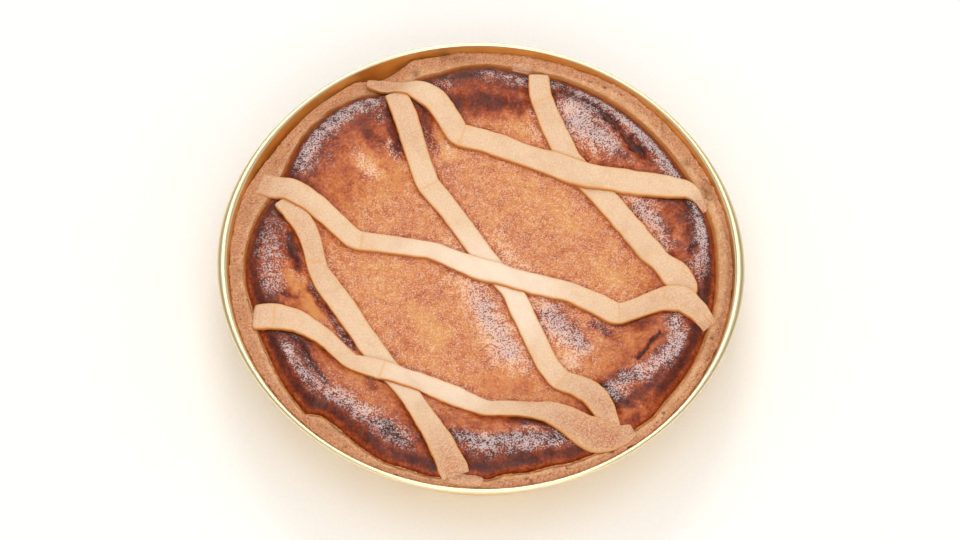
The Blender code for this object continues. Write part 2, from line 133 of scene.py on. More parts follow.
def trailField(x, y, trails, spread=1.0):
    # soft bands (half-width, [(x, y, strength), ...]), the strongest one winning
    field = np.zeros(np.shape(x))
    for halfWidth, path in trails:
        away, strength = nearestOnPath(x, y, path)
        field = np.maximum(field, strength * np.exp(-(away / (spread * halfWidth)) ** 2))
    return field


def turned(radius, azimuth, z):
    return np.stack([radius * np.cos(azimuth), radius * np.sin(azimuth), z + 0 * azimuth], axis=-1)


def gridFaces(rows, columns, closed):
    # quads of a grid of points, row by row; closed joins the last column to the first
    i, j = np.meshgrid(np.arange(rows - 1), np.arange(columns if closed else columns - 1), indexing="ij")
    row, nextRow, nextColumn = i * columns, (i + 1) * columns, (j + 1) % columns
    quads = np.stack([row + j, row + nextColumn, nextRow + nextColumn, nextRow + j], axis=-1)
    return quads.reshape(-1, 4).tolist()


def closedFaces(rows, columns):
    # a grid closed round, with a fan at each end to the two points that follow the grid's own
    total = rows * columns
    last = total - columns
    faces = gridFaces(rows, columns, True)
    faces += [(total, (i + 1) % columns, i) for i in range(columns)]
    faces += [(total + 1, last + i, last + (i + 1) % columns) for i in range(columns)]
    return faces


def addObject(name, data):
    thing = bpy.data.objects.new(name, data)
    bpy.context.scene.collection.objects.link(thing)
    return thing


def makePiece(name, points, faces, material, fields=None):
    # fields are numbers painted on the points: (those of a grid, the one for all points after it)
    mesh = bpy.data.meshes.new(name)
    mesh.from_pydata((np.asarray(points) * mm).tolist(), [], faces)
    mesh.materials.append(material)
    mesh.shade_smooth()
    for field, (values, elsewhere) in (fields or {}).items():
        painted = np.full(len(points), elsewhere, np.float32)
        painted[:np.size(values)] = np.ravel(values)
        mesh.attributes.new(field, "FLOAT", "POINT").data.foreach_set("value", painted)
    return addObject(name, mesh)


def newGeometryTree(name, sockets):
    tree = bpy.data.node_groups.new(name, "GeometryNodeTree")
    tree.interface.new_socket("Carrier", in_out="INPUT", socket_type="NodeSocketGeometry")
    for socket, kind in sockets.items():
        tree.interface.new_socket(socket, in_out="INPUT", socket_type="NodeSocket" + kind)
    tree.interface.new_socket("Made", in_out="OUTPUT", socket_type="NodeSocketGeometry")
    return tree, addNode(tree, "NodeGroupInput").outputs


def endTree(tree, made, finish):
    whole = addNode(tree, "GeometryNodeRealizeInstances", {0: made})
    finished = addNode(tree, "GeometryNodeSetMaterial", {0: whole.outputs[0], "Material": finish})
    addNode(tree, "NodeGroupOutput", {0: finished.outputs[0]})
    return tree


def growPiece(name, carrier, tree, inputs):
    # runs a Geometry Nodes tree on a carrier and keeps what it makes as a plain mesh
    modifier = carrier.modifiers.new(tree.name, "NODES")
    modifier.node_group = tree
    for item in tree.interface.items_tree:
        if item.in_out == "INPUT" and item.name in inputs:
            modifier[item.identifier] = inputs[item.name]
    evaluated = carrier.evaluated_get(bpy.context.evaluated_depsgraph_get())
    mesh = bpy.data.meshes.new_from_object(evaluated)
    carrier.modifiers.remove(modifier)
    mesh.name = name
    return addObject(name, mesh)


def handOver(piece, slot, *nodes):
    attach(piece, "root")
    if nodes:
        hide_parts(*nodes)


def treeOf(pieces):
    points, faces = [], []
    for piece in pieces:
        start = len(points)
        points += [v.co / mm for v in piece.data.vertices]
        faces += [tuple(start + i for i in polygon.vertices) for polygon in piece.data.polygons]
    return BVHTree.FromPolygons(points, faces)


def heightUnder(tree, x, y):
    hit = tree.ray_cast(Vector((x, y, 100.0)), Vector((0, 0, -1)))
    return hit[0].z if hit[0] else 0.0


# Camera: the photo's view, from the front and about 61 degrees above the table.
view = {
    "elevation": 60.7,
    "roll": 1.95,
    "distance": 1.0,
    "lens": 80.4,
    "aim": (-0.0004, -0.0076, 0.038),
}


def makeCamera():
    elevation, roll = math.radians(view["elevation"]), math.radians(view["roll"])
    back = Vector((0, -math.cos(elevation), math.sin(elevation)))
    right = (-back).cross(Vector((0, 0, 1))).normalized()
    up = right.cross(-back)
    turnedRight = math.cos(roll) * right + math.sin(roll) * up
    turnedUp = math.cos(roll) * up - math.sin(roll) * right
    lens = bpy.data.cameras.new("photoCamera")
    lens.sensor_width = 36.0
    lens.lens = view["lens"]
    camera = addObject("photoCamera", lens)
    place = Matrix((turnedRight, turnedUp, back)).transposed().to_4x4()
    place.translation = Vector(view["aim"]) + back * view["distance"]
    camera.matrix_world = place
    bpy.context.scene.camera = camera


# Light: a soft box behind for the gloss, wide ones overhead and in front, and a room that is white all
# round and greyer overhead.
studio = {
    # name: (place, width, depth, watts, colour)
    "keyLight": ((-0.05, 0.80, 0.95), 0.5, 0.3, 4.0, "#fffaf2"),
    "topLight": ((0.0, -0.1, 1.4), 1.4, 1.2, 9.0, "#fffdf8"),
    "frontLight": ((0.1, -1.0, 0.9), 1.2, 0.6, 6.0, "#fffdf8"),
}
room = {"side": "#ffffff", "sideUpTo": 0.4, "top": "#9c9a98", "topFrom": 0.6, "strength": 0.85}


def makeLight():
    for name, (place, width, depth, watts, colour) in studio.items():
        light = bpy.data.lights.new(name, "AREA")
        light.shape = "RECTANGLE"
        light.size, light.size_y = width, depth
        light.energy = watts
        light.color = hexColour(colour)[:3]
        lamp = addObject(name, light)
        lamp.location = place
        lamp.rotation_euler = (-Vector(place)).to_track_quat("-Z", "Y").to_euler()
    world = bpy.data.worlds.new("paleRoom")
    world.use_nodes = True
    tree = world.node_tree
    tree.nodes.clear()
    direction = addNode(tree, "ShaderNodeTexCoord").outputs["Generated"]
    height = addNode(tree, "ShaderNodeSeparateXYZ", {0: direction}).outputs["Z"]
    stops = [(room["sideUpTo"], room["side"]), (room["topFrom"], room["top"])]
    tone = addNode(tree, "ShaderNodeValToRGB", {0: height}, stops).outputs[0]
    background = addNode(tree, "ShaderNodeBackground", {0: tone, 1: room["strength"]})
    addNode(tree, "ShaderNodeOutputWorld", {0: background.outputs[0]})
    bpy.context.scene.world = world
    bpy.context.scene.view_settings.view_transform = "Standard"


makeCamera()
makeLight()
print("camera and light placed")


# Tin: a section drawn once and swept round, then a roll that is wider at the left and the right.
tin = {
    "height": 40.0,
    "sheet": 0.6,
    "draft": math.radians(20.0),
    "mouthRadius": 118.6,
    "floorRing": 60.0,  # radius of an edge halfway across the floor
    "beadHalfHeight": 1.3,
    "beadHalfWidth": 1.2,
    "beadSpread": 1.15,  # this much wider each way at the very left and right
    "beadSpreadPower": 6,  # how quickly the roll narrows away from there
    "beadTurn": 325.0,
    "beadSteps": 54,
    # the roll's paler colour is a painted highlight
    "highlightFrom": 37.8,  # the roll's paler colour comes in between these two heights
    "highlightTo": 38.9,
    "fillet": 3.0,
    "filletSteps": 8,
    "around": 360,
    "sweepRadius": 100.0,  # of the circle that the section is swept round; the form doesn't depend on it
    "gold": "#fad98a",
    "deepGold": "#f0c268",
    "highlightGold": "#f2deb4",
}


def goldAnodisedAluminium():
    # Gold anodised aluminium: spun sheet under a thin dyed oxide skin, satin and a little cloudy on the wall.
    # On the roll the gold is paler and brighter: a painted highlight.
    material, tree, shader, place = newMaterial("goldAnodisedAluminium")
    cloud = addNode(tree, "ShaderNodeTexNoise", {0: place, "Scale": perMetre(25.0), "Detail": 2.0}).outputs[0]
    tone = addNode(tree, "ShaderNodeValToRGB", {0: cloud}, [(0.35, tin["deepGold"]), (0.65, tin["gold"])])
    level = addNode(tree, "ShaderNodeSeparateXYZ", {0: place}).outputs["Z"]
    rolled = addNode(tree, "ShaderNodeMapRange",
                     {0: level, 1: tin["highlightFrom"] * mm, 2: tin["highlightTo"] * mm}).outputs[0]
    # painted highlight: the roll gets a paler, brighter gold
    tone = addNode(tree, "ShaderNodeMix", {0: rolled, 6: tone.outputs[0], 7: hexColour(tin["highlightGold"])},
                   data_type="RGBA")
    # faint rings left by spinning, drawn half a millimetre apart so that they show
    flat = addNode(tree, "ShaderNodeVectorMath", {0: place, 1: (1, 1, 0)}, operation="MULTIPLY").outputs[0]
    radius = addNode(tree, "ShaderNodeVectorMath", {0: flat}, operation="LENGTH").outputs["Value"]
    ring = addNode(tree, "ShaderNodeCombineXYZ", {0: radius, 2: level}).outputs[0]
    lines = addNode(tree, "ShaderNodeTexNoise", {0: ring, "Scale": perMetre(0.5), "Detail": 1.0}).outputs[0]
    ringStrength = addNode(tree, "ShaderNodeMapRange", {0: rolled, 3: 0.1, 4: 0.0}).outputs[0]
    relief = addNode(tree, "ShaderNodeBump",
                     {"Strength": ringStrength, "Distance": 0.04 * mm, "Height": lines})
    gloss = addNode(tree, "ShaderNodeMapRange", {0: rolled, 3: 0.4, 4: 0.3}).outputs[0]
    setInputs(tree, shader, {"Base Color": tone.outputs[2], "Roughness": gloss, "Normal": relief.outputs[0],
                             "Metallic": 1.0})
    return material


def tinInnerRadius(z):
    return tin["mouthRadius"] - (tin["height"] - tin["beadHalfHeight"] - z) * math.tan(tin["draft"])


def tinSection():
    # half section, from the middle of the floor up the inside, round the bead and down the outside
    def corner(radius, floor, fillet):
        turn = math.pi / 2 - tin["draft"]
        centre = radius - fillet * math.tan(turn / 2)
        angles = [turn * i / tin["filletSteps"] - math.pi / 2 for i in range(tin["filletSteps"] + 1)]
        return [(centre + fillet * math.cos(a), floor + fillet * (1 + math.sin(a))) for a in angles]

    sheet, wide, high = tin["sheet"], tin["beadHalfWidth"], tin["beadHalfHeight"]
    wall = sheet / math.cos(tin["draft"])
    ring = tin["floorRing"]
    inside = [(0.0, sheet), (ring, sheet)] + corner(tinInnerRadius(sheet), sheet, tin["fillet"])
    outside = corner(tinInnerRadius(0.0) + wall, 0.0, tin["fillet"] + sheet)
    roll = []
    for i in range(tin["beadSteps"] + 1):
        degrees = 180 - tin["beadTurn"] * i / tin["beadSteps"]
        angle = math.radians(degrees)
        lift = math.sin(angle) - 1
        roll.append((tin["mouthRadius"] + wide * (1 + math.cos(angle)), tin["height"] + high * lift))
    return inside + roll + outside[::-1] + [(ring, 0.0), (0.0, 0.0)]


def turnedSheetTree():
    # turns the carrier's edges, a half section drawn flat beside a circle, round the Z axis
    tree, given = newGeometryTree("turnedSheet", {"Radius": "Float", "Segments": "Int", "Finish": "Material"})
    section = addNode(tree, "GeometryNodeMeshToCurve", {"Mesh": given["Carrier"]})
    path = addNode(tree, "GeometryNodeCurvePrimitiveCircle",
                   {"Resolution": given["Segments"], "Radius": given["Radius"]})
    swept = addNode(tree, "GeometryNodeCurveToMesh",
                    {"Curve": path.outputs["Curve"], "Profile Curve": section.outputs["Curve"]})
    welded = addNode(tree, "GeometryNodeMergeByDistance",
                     {"Geometry": swept.outputs["Mesh"], "Distance": 1e-6})
    smooth = addNode(tree, "GeometryNodeSetShadeSmooth", {0: welded.outputs[0]})
    return endTree(tree, smooth.outputs[0], given["Finish"])


def buildTin():
    # the sweep lays the drawing's X outwards and its Y downwards
    section = [(r - tin["sweepRadius"], -z, 0.0) for r, z in tinSection()]
    mesh = bpy.data.meshes.new("tinSection")
    mesh.from_pydata([Vector(p) * mm for p in section], [(i, i + 1) for i in range(len(section) - 1)], [])
    carrier = addObject("tinSection", mesh)
    inputs = {"Radius": tin["sweepRadius"] * mm, "Segments": tin["around"],
              "Finish": goldAnodisedAluminium()}
    piece = growPiece("tinSheet", carrier, turnedSheetTree(), inputs)
    bpy.data.objects.remove(carrier)
    # the roll, which is all that lies outside the mouth, grows wider towards left and right
    places = np.array([v.co for v in piece.data.vertices]) / mm
    radius = np.hypot(places[:, 0], places[:, 1])
    azimuth = np.arctan2(places[:, 1], places[:, 0])
    past = np.maximum(radius - tin["mouthRadius"], 0)
    wider = past * tin["beadSpread"] / tin["beadHalfWidth"] * np.cos(azimuth) ** tin["beadSpreadPower"]
    places[:, 0] += wider * np.cos(azimuth)
    places[:, 1] += wider * np.sin(azimuth)
    piece.data.vertices.foreach_set("co", (places * mm).astype(np.float32).ravel())
    piece.data.update()
    handOver(piece, "tin", "tin")
    return piece


tinSheet = buildTin()
print("tin made,", len(tinSheet.data.polygons), "faces")


# Pastry case: the same ring of shapes as the solid, with the crumbly rim of a real one.
crust = {
    "base": 4.0,
    "foot": 3.0,
    "innerFoot": 2.4,  # rounding between wall and base, under the filling
    "waist": 3.4,  # from this far below the rim's top the wall follows the tin exactly
    "rimHeight": 36.9,
    "rimRight": 0.3,
    "rimFront": 0.8,
    "rimWaves": [(0.25, 7, 1.0), (0.2, 13, 2.2)],
    "rounding": 0.7,
    "outerRounding": 0.35,
    "crown": 0.4,
    "shoulder": 2.2,
    "lip": 1.7,
    "lipShare": 0.6,
    # where the filling meets the case: (azimuth, radius)
    "innerEdge": [
        (0, 110.0), (10, 110.4), (20, 109.1), (30, 108.1), (45, 108.0), (60, 108.3), (70, 108.7),
        (79, 107.4), (90, 108.8), (97, 107.6), (103, 105.4), (112, 104.9), (121, 105.4), (126, 107.9),
        (134, 109.4), (143, 109.2), (150, 107.1), (156, 105.0), (164, 104.6), (169, 106.9),
        (176, 109.1), (183, 110.3), (190, 110.2), (196, 109.0), (203, 109.6), (210, 110.0),
        (216, 111.2), (224, 112.6), (227.6, 113.4), (229, 111.2), (230.6, 109.2), (234, 108.8),
        (238, 109.6), (243, 111.4), (249, 113.2), (255, 113.0), (260, 113.8), (265, 112.8),
        (270, 112.0), (273, 113.0), (277, 110.6), (283, 111.2), (288, 110.4), (292, 111.8),
        (298, 112.0), (311, 111.6), (315, 112.2), (320, 110.8), (330, 111.0), (340, 110.4),
        (350, 110.4),
    ],
    "lean": 0.6,
    "leanChanges": [(40, 130, 1.4)],
    "contactHeight": 35.2,
    "contactChanges": [(116, 11, -5.0), (150, 18, -1.6)],
    "heightChanges": [(116, 9, -4.2), (150, 16, -1.4), (60, 20, 0.5), (190, 45, 0.6), (10, 22, 0.4)],
    "outerChanges": [(116, 10, -2.8), (104, 8, -1.4), (136, 16, -2.0), (154, 14, -1.4)],
    "around": 900,
    "steps": [1, 3, 8, 7, 7, 9, 7, 12, 3, 1],  # rings between two shapes of the section
    "wallGap": 0.3,
    "rimGap": 0.05,  # the baked rim all but touches the tin
    "crumbSize": 1.9,
    "lumpSize": 6.5,
    "pitSize": 2.3,
    "fraySize": 2.2,
    "rimRelief": (0.38, 0.35, 0.7),  # heights of crumbs and lumps on the rim, and depth of its pits
    "faceRelief": (0.3, 0.35),  # heights of crumbs and lumps on the face towards the filling
    "fray": (0.4, 0.3, 0.2),  # how far crumbs, lumps and the whole edge reach out towards the tin
    # crumbs stuck on the rim and small breaks in it: (azimuth, radius, half-width, height)
    "knobs": [(65, 115.0, 1.3, 1.3), (75, 113.0, 1.2, 1.2), (14, 117.0, 1.4, 0.9), (21, 117.2, 1.2, 0.9),
              (348, 111.6, 1.6, 0.9), (340.5, 113.6, 0.8, -1.4), (302, 115.0, 1.3, -0.9),
              (58, 117.0, 1.0, 0.8), (30, 112.5, 2.5, -0.6), (109, 109.0, 2.0, -0.9),
              (119.5, 111.0, 0.9, 1.2)],
    # browner patches, and the dark in the crack near azimuth 340, which is painted shade: (half-width, [(x,
    # y, strength)])
    "stains": [(2.5, [(105, 43, 0.5), (108, 36, 0.6)]), (0.9, [(107, -38.5, 0.9)]), (1.0, [(-112, -12, 0.6)]),
               (1.0, [(-110, -24, 0.5)]), (3.0, [(-22, 113, 0.45), (-8, 114, 0.3)]),
               (4.0, [(106, -46, 0.2), (115, -22, 0.3), (117, 0, 0.3), (115, 22, 0.25)])],
}


def rimInnerRadius(azimuth):
    places, radii = zip(*crust["innerEdge"])
    return np.interp(np.degrees(azimuth) % 360, places, radii, period=360)


def rimHeight(azimuth):
    level = crust["rimHeight"] + crust["rimRight"] * np.cos(azimuth) - crust["rimFront"] * np.sin(azimuth)
    for height, count, phase in crust["rimWaves"]:
        level = level + height * np.sin(count * azimuth + phase)
    return withChanges(level, azimuth, crust["heightChanges"])


def contactHeight(azimuth):
    return withChanges(crust["contactHeight"], azimuth, crust["contactChanges"])


def crustSection(azimuth):
    # (radius, height) of each shape of the section, from under the case, over the rim, to its floor
    slope = math.tan(tin["draft"])
    base = tin["sheet"] + crust["wallGap"]
    floor = base + crust["base"]
    top = rimHeight(azimuth)
    inner = rimInnerRadius(azimuth)
    contact = contactHeight(azimuth)
    shrink = withChanges(0.0, azimuth, crust["outerChanges"])

    def outer(z, gap):
        belowBead = np.minimum(z, tin["height"] - tin["beadHalfHeight"])
        return tinInnerRadius(belowBead) - gap / math.cos(tin["draft"])

    def innerBelow(z):
        return inner - (contact - z) * slope

    rounding = crust["innerFoot"]
    lean = withChanges(crust["lean"], azimuth, crust["leanChanges"])
    face = inner + lean * (top - contact)
    lip = np.minimum(crust["lip"], crust["lipShare"] * (top - contact))
    edge = outer(top, crust["rimGap"]) + shrink
    shapes = [
        (outer(base, crust["wallGap"]) - crust["foot"], base),
        (outer(base + crust["foot"], crust["wallGap"]), base + crust["foot"]),
        (outer(top - crust["waist"], crust["wallGap"]), top - crust["waist"]),
        (outer(top - crust["shoulder"], crust["rimGap"]) + shrink, top - crust["shoulder"]),
        (edge - crust["outerRounding"], top - crust["crown"]),
        ((edge + face) / 2, top),
        (face + crust["rounding"], top - crust["crown"]),
        (face - lean * lip, top - lip),
        (inner, contact),
        (innerBelow(floor + rounding), floor + rounding),
        (innerBelow(floor) - rounding, floor),
    ]
    return [(r + 0 * azimuth, z + 0 * azimuth) for r, z in shapes]


# Baked dough crumb: the tones of toasted flour and butter, from the hollows to the peaks. They follow the
# crumb's relief, so the dark in its hollows and the light on its peaks are partly painted shade and
# highlight.
crumbTonesWithShade = [(0.3, "#8c4f33"), (0.42, "#b87a57"), (0.54, "#cb9370"), (0.7, "#deb294")]


def shortcrustRim():
    # Shortcrust, pressed by hand and baked: dull and crumbly, toasted pink-brown on top, smoother and more
    # golden on the face towards the filling, with painted orange bounce light from the filling on the face
    # just above it.
    material, tree, shader, place = newMaterial("shortcrustRim")
    rim, pitShadeAndStain, fillingBounce = [addNode(tree, "ShaderNodeAttribute", attribute_name=field).outputs["Fac"]
                      for field in ("rimTop", "pitShadeAndStain", "fillingBounce")]
    # blotches, patches, crumbs and a fine grain: (size, detail, roughness)
    blotch, broad, crumb, grain = [
        addNode(tree, "ShaderNodeTexNoise",
                {0: place, "Scale": perMetre(size), "Detail": detail, "Roughness": roughness}).outputs[0]
        for size, detail, roughness in ((8.0, 3.0, 0.5), (3.0, 2.0, 0.5), (0.85, 3.0, 0.65), (0.6, 2.0, 0.5))]
    # both ramps follow the noise of the crumb relief, so their dark lies in its hollows: partly painted shade
    faceTones = [(0.28, "#c58d5c"), (0.5, "#dcaa7f"), (0.72, "#eac7a4")]
    face, top = [addNode(tree, "ShaderNodeValToRGB", {0: crumb}, tones).outputs[0]
                 for tones in (faceTones, crumbTonesWithShade)]
    tone = addNode(tree, "ShaderNodeMix", {0: rim, 6: face, 7: top}, data_type="RGBA").outputs[2]
    golden = addNode(tree, "ShaderNodeMapRange", {0: broad, 1: 0.48, 2: 0.72, 3: 0.0, 4: 0.45}).outputs[0]
    toast = addNode(tree, "ShaderNodeMapRange", {0: blotch, 1: 0.45, 2: 0.75, 3: 0.0, 4: 0.45}).outputs[0]
    # the orange near the filling is painted bounce light; the dark of the pits is painted shade in them,
    # mixed with real stains
    for share, colour in ((golden, "#cb8e54"), (toast, "#b0764e"), (fillingBounce, "#c97f3c"), (pitShadeAndStain, "#7a4422")):
        tone = addNode(tree, "ShaderNodeMix", {0: share, 6: tone, 7: hexColour(colour)},
                       data_type="RGBA").outputs[2]
    fine = addNode(tree, "ShaderNodeBump", {"Strength": 0.5, "Distance": 0.12 * mm, "Height": grain})
    relief = addNode(tree, "ShaderNodeBump", {"Strength": 0.8, "Distance": 0.32 * mm, "Height": crumb,
                                              "Normal": fine.outputs[0]})
    setInputs(tree, shader, {"Base Color": tone, "Normal": relief.outputs[0], "Roughness": 0.85,
                             "Specular IOR Level": 0.25})
    return material


def curveThrough(shapes, steps):
    # rings on a smooth curve through the shapes of a section
    rings = []
    for k in range(len(shapes) - 1):
        before, start = shapes[max(k - 1, 0)], shapes[k]
        end, after = shapes[k + 1], shapes[min(k + 2, len(shapes) - 1)]
        for t in np.arange(steps[k]) / steps[k]:
            ring = []
            for a, b, c, d in zip(before, start, end, after):
                bend = (2 * a - 5 * b + 4 * c - d) * t ** 2 + (3 * b - a - 3 * c + d) * t ** 3
                ring.append(0.5 * (2 * b + (c - a) * t + bend))
            rings.append(ring)
    rings.append(shapes[-1])
    return rings


def buildCrust():
    azimuth = np.arange(crust["around"]) * 2 * np.pi / crust["around"]
    shapes = crustSection(azimuth)
    rings = curveThrough(shapes, crust["steps"])
    radius = np.array([r for r, z in rings])
    z = np.array([z for r, z in rings])
    # how far along the section a ring lies: 2 is the waist, 3 the outer shoulder, 5 the top, 7 the lip
    # and 8 the line where the filling meets the case
    span = np.concatenate([[0], np.cumsum(crust["steps"])])
    along = np.interp(np.arange(len(rings)), span, np.arange(len(span)))[:, None] + 0 * azimuth
    place = turned(radius, azimuth, z)
    alongSection = np.gradient(place, axis=0)
    aroundRing = np.roll(place, -1, axis=1) - np.roll(place, 1, axis=1)
    normal = np.cross(aroundRing, alongSection)
    normal /= np.linalg.norm(normal, axis=-1, keepdims=True)
    # the rough part runs from the outer shoulder over the top to the lip, the softer one on down the face
    upper = smoothStep(along, 2.3, 3.2)
    rough = upper * (1 - smoothStep(along, 5.8, 7.0))
    soft = upper * (1 - smoothStep(along, 7.6, 8.0))
    fine = lumps(place, crust["crumbSize"], 3, 3.1)
    broad = lumps(place, crust["lumpSize"], 2, 11.7)
    holes = np.clip(lumps(place, crust["pitSize"], 2, 27.3) - 0.58, 0, 0.25) / 0.25
    crumbs, bumps, pitDepth = crust["rimRelief"]
    faceCrumbs, faceBumps = crust["faceRelief"]
    lift = rough * (crumbs * fine + bumps * broad - pitDepth * holes)
    lift = lift + (soft - rough) * (faceBumps * broad + faceCrumbs * fine)
    for knobAzimuth, knobRadius, halfWidth, height in crust["knobs"]:
        away = np.degrees(azimuth) - knobAzimuth
        across = np.radians((away + 180) % 360 - 180) * knobRadius
        spot = np.exp(-((across[None, :] + 0.4 * broad) ** 2 + (radius - knobRadius) ** 2) / halfWidth ** 2)
        lift = lift + soft * height * spot
        holes = np.maximum(holes, np.clip(-height, 0, 1) * spot)
    outerEdge = upper * (1 - smoothStep(along, 4.0, 5.0))
    crumbs, bumps, whole = crust["fray"]
    fray = crumbs * lumps(place, crust["fraySize"], 3, 41.0) + bumps * broad + whole
    place = place + normal * lift[..., None]
    place = place + (outerEdge * fray)[..., None] * turned(1.0, azimuth, 0.0)
    # nothing comes nearer to the tin than the rim gap
    reach = np.hypot(place[..., 0], place[..., 1])
    limit = tinInnerRadius(np.minimum(place[..., 2], tin["height"] - tin["beadHalfHeight"])) - crust["rimGap"]
    place[..., :2] *= np.minimum(1, limit / reach)[..., None]
    stains = trailField(place[..., 0], place[..., 1], crust["stains"])
    points = np.vstack([place.reshape(-1, 3), [[0, 0, shapes[0][1][0]], [0, 0, shapes[-1][1][0]]]])
    fields = {
        "rimTop": (upper * (1 - smoothStep(along + 0.3 * broad, 5.2, 6.2)), 0.0),
        # painted bounce light: orange on the face just above the filling
        "fillingBounce": (0.8 * smoothStep(along + 0.3 * broad, 7.1, 7.8), 0.0),
        # painted shade in the rim's pits and breaks, together with real brown stains
        "pitShadeAndStain": (np.maximum(soft * holes * 0.8, np.clip(stains * (1 + fine), 0, 0.9)), 0.0),
        "crumbCover": (0.5 * smoothStep(rough, 0.7, 1.0), 0.0),
    }
    piece = makePiece("crustCase", points, closedFaces(*along.shape), shortcrustRim(), fields)
    handOver(piece, "crust", "crust")
    return piece


crustCase = buildCrust()
print("crust made,", len(crustCase.data.polygons), "faces")


# Lattice routes seen from above: (x, y, width). They are the solids' own.
underStrips = {
    "stripUnderLeft": [
        (-95, 27, 11), (-89, 20, 11.5), (-83.5, 13, 11.5), (-80.5, 7, 11.3), (-78, -1, 10), (-76.5, -6, 10.5),
        (-72.5, -12.5, 12), (-65, -22.5, 12), (-58.5, -32, 11.5), (-51, -43, 11.5), (-30.5, -71, 10.5),
        (-16.7, -94, 12), (-9.6, -108.5, 13), (-8, -112.3, 12.5),
    ],
    "stripUnderMiddle": [
        (-45, 90, 11), (-39, 76, 12), (-34, 62, 12), (-27, 44, 12), (-16, 30, 11), (4, 1, 11),
        (15, -13, 11), (22, -29, 11), (32, -51, 11), (38, -59, 11.5), (47, -64, 12), (54, -71, 12),
        (58, -79, 11), (61, -85, 8), (62, -88, 6),
    ],
    "stripUnderRight": [
        (25, 104, 10), (26, 91, 11), (31, 78, 11), (41, 58, 11), (55, 42, 10.8), (63, 32, 10.8),
        (71.3, 20.6, 10.8), (79.7, 6.9, 10.8), (84.5, 0.5, 9.5), (90.5, -6.5, 14.5), (94.5, -12.7, 13.5),
        (95.5, -18, 11),
    ],
}
overStrips = {
    "stripOverFront": [
        (-104, -36.5, 13), (-93.5, -36.3, 13.5), (-83.5, -37.3, 12.5), (-71.5, -43.5, 10.5),
        (-58.7, -54.5, 10), (-46.7, -57, 10.5), (-40, -59, 10.5), (-25, -63.3, 11), (-10, -69.2, 11.3),
        (5, -76.3, 9.7), (20, -77, 9.7), (33.5, -78.7, 13), (38.5, -81.5, 14), (48, -88.5, 16.5),
        (55, -91, 17), (60, -91.5, 13.5), (65, -90.5, 10),
        (71, -86.5, 6),
    ],
    "stripOverMiddle": [
        (-107, 36.5, 12), (-92, 32, 13), (-80, 25.5, 12), (-60, 11.5, 10.5), (-43.5, 9.8, 10),
        (-22.7, 7.2, 9.5), (-2, -2, 11), (18.6, -7.6, 12), (42, -12.6, 10.5), (56, -19, 12),
        (64, -24, 12), (73, -22, 12), (85, -19, 13), (94, -20, 13), (101, -26, 11), (106.5, -33, 8),
    ],
    "stripOverBack": [
        (-59, 95, 4), (-50, 95, 9), (-36, 93, 11.5), (-25, 86, 12), (-13, 72, 12), (0, 69, 11.5),
        (30, 58, 11.5), (48, 50, 11.5), (75, 43, 12), (90, 40.5, 12), (97, 40.5, 10), (101, 37.5, 6.5),
        (104, 33, 4), (106, 29, 3),
    ],
}
stripPaths = list((underStrips | overStrips).values())

# Filling: the solid's own form, with the wrinkled, puffed skin of the baked top.
filling = {
    "basinHeight": 28.3,
    "basinRadius": 66.0,
    "edgeSoftness": 0.035,
    "crestHeight": 38.4,
    "crestInset": 8.5,
    "pressDepth": 1.1,
    "pressWidth": 6.5,
    "basinChanges": [(138, 42, -13.0), (98, 20, 8.0), (194, 26, 10.0), (228, 24, 9.0), (264, 22, 4.0),
                     (300, 24, 5.0), (340, 24, 4.0), (14, 24, 3.0)],
    "crestChanges": [(96, 20, 2.2), (49, 27, 1.6), (4, 18, 1.4), (327, 20, 2.6), (282, 20, 2.4),
                     (231, 32, 2.6), (180, 19, 2.0), (138, 23, 1.6)],
    # folds in the skin: (half-width, [(x, y, depth), ...])
    "creases": [
        (2.0, [(36, 93, 0.8), (46, 90, 1.6), (58, 81, 2.0), (64, 73, 2.2)]),
        (2.6, [(62, 76, 0.8), (68, 68, 2.0), (75, 60, 2.4), (80, 55, 1.2)]),
        (3.0, [(96, 36, 1.2), (98, 30, 0.9), (99, 12, 1.0), (99, 8, 1.4)]),
        (1.2, [(84, -37, 0.8), (79, -43, 1.5), (73, -50, 1.0)]),
        (2.6, [(-94, -44, 0.6), (-84, -49, 1.2), (-78, -58, 1.4), (-68, -70, 0.6)]),
        (2.2, [(-42, -86, 0.6), (-38, -92, 1.2), (-34, -96, 0.6)]),
        (3.0, [(-91, 4, 0.8), (-87, -3, 1.8), (-85, -10, 0.8)]),
        (1.8, [(-94, -18, 0.4), (-90, -23, 0.7), (-86, -22, 0.4)]),
    ],
    "waveSizes": (13.0, 4.2, 3.4),  # broad, small, and those whose ridges are wrinkles
    "basinWaves": (0.35, 0.16),  # heights of the broad and the small ones
    "rollWaves": (0.7, 0.3, 0.2),
    "swell": (0.8, 9.0, 3.0),  # along each strip: height, distance from its middle, half-width
    "grid": 304,
    "crowding": 0.35,  # how much closer the points lie towards the case
    "intoCrust": 0.6,  # the skin runs this far into the case, so no gap shows
}

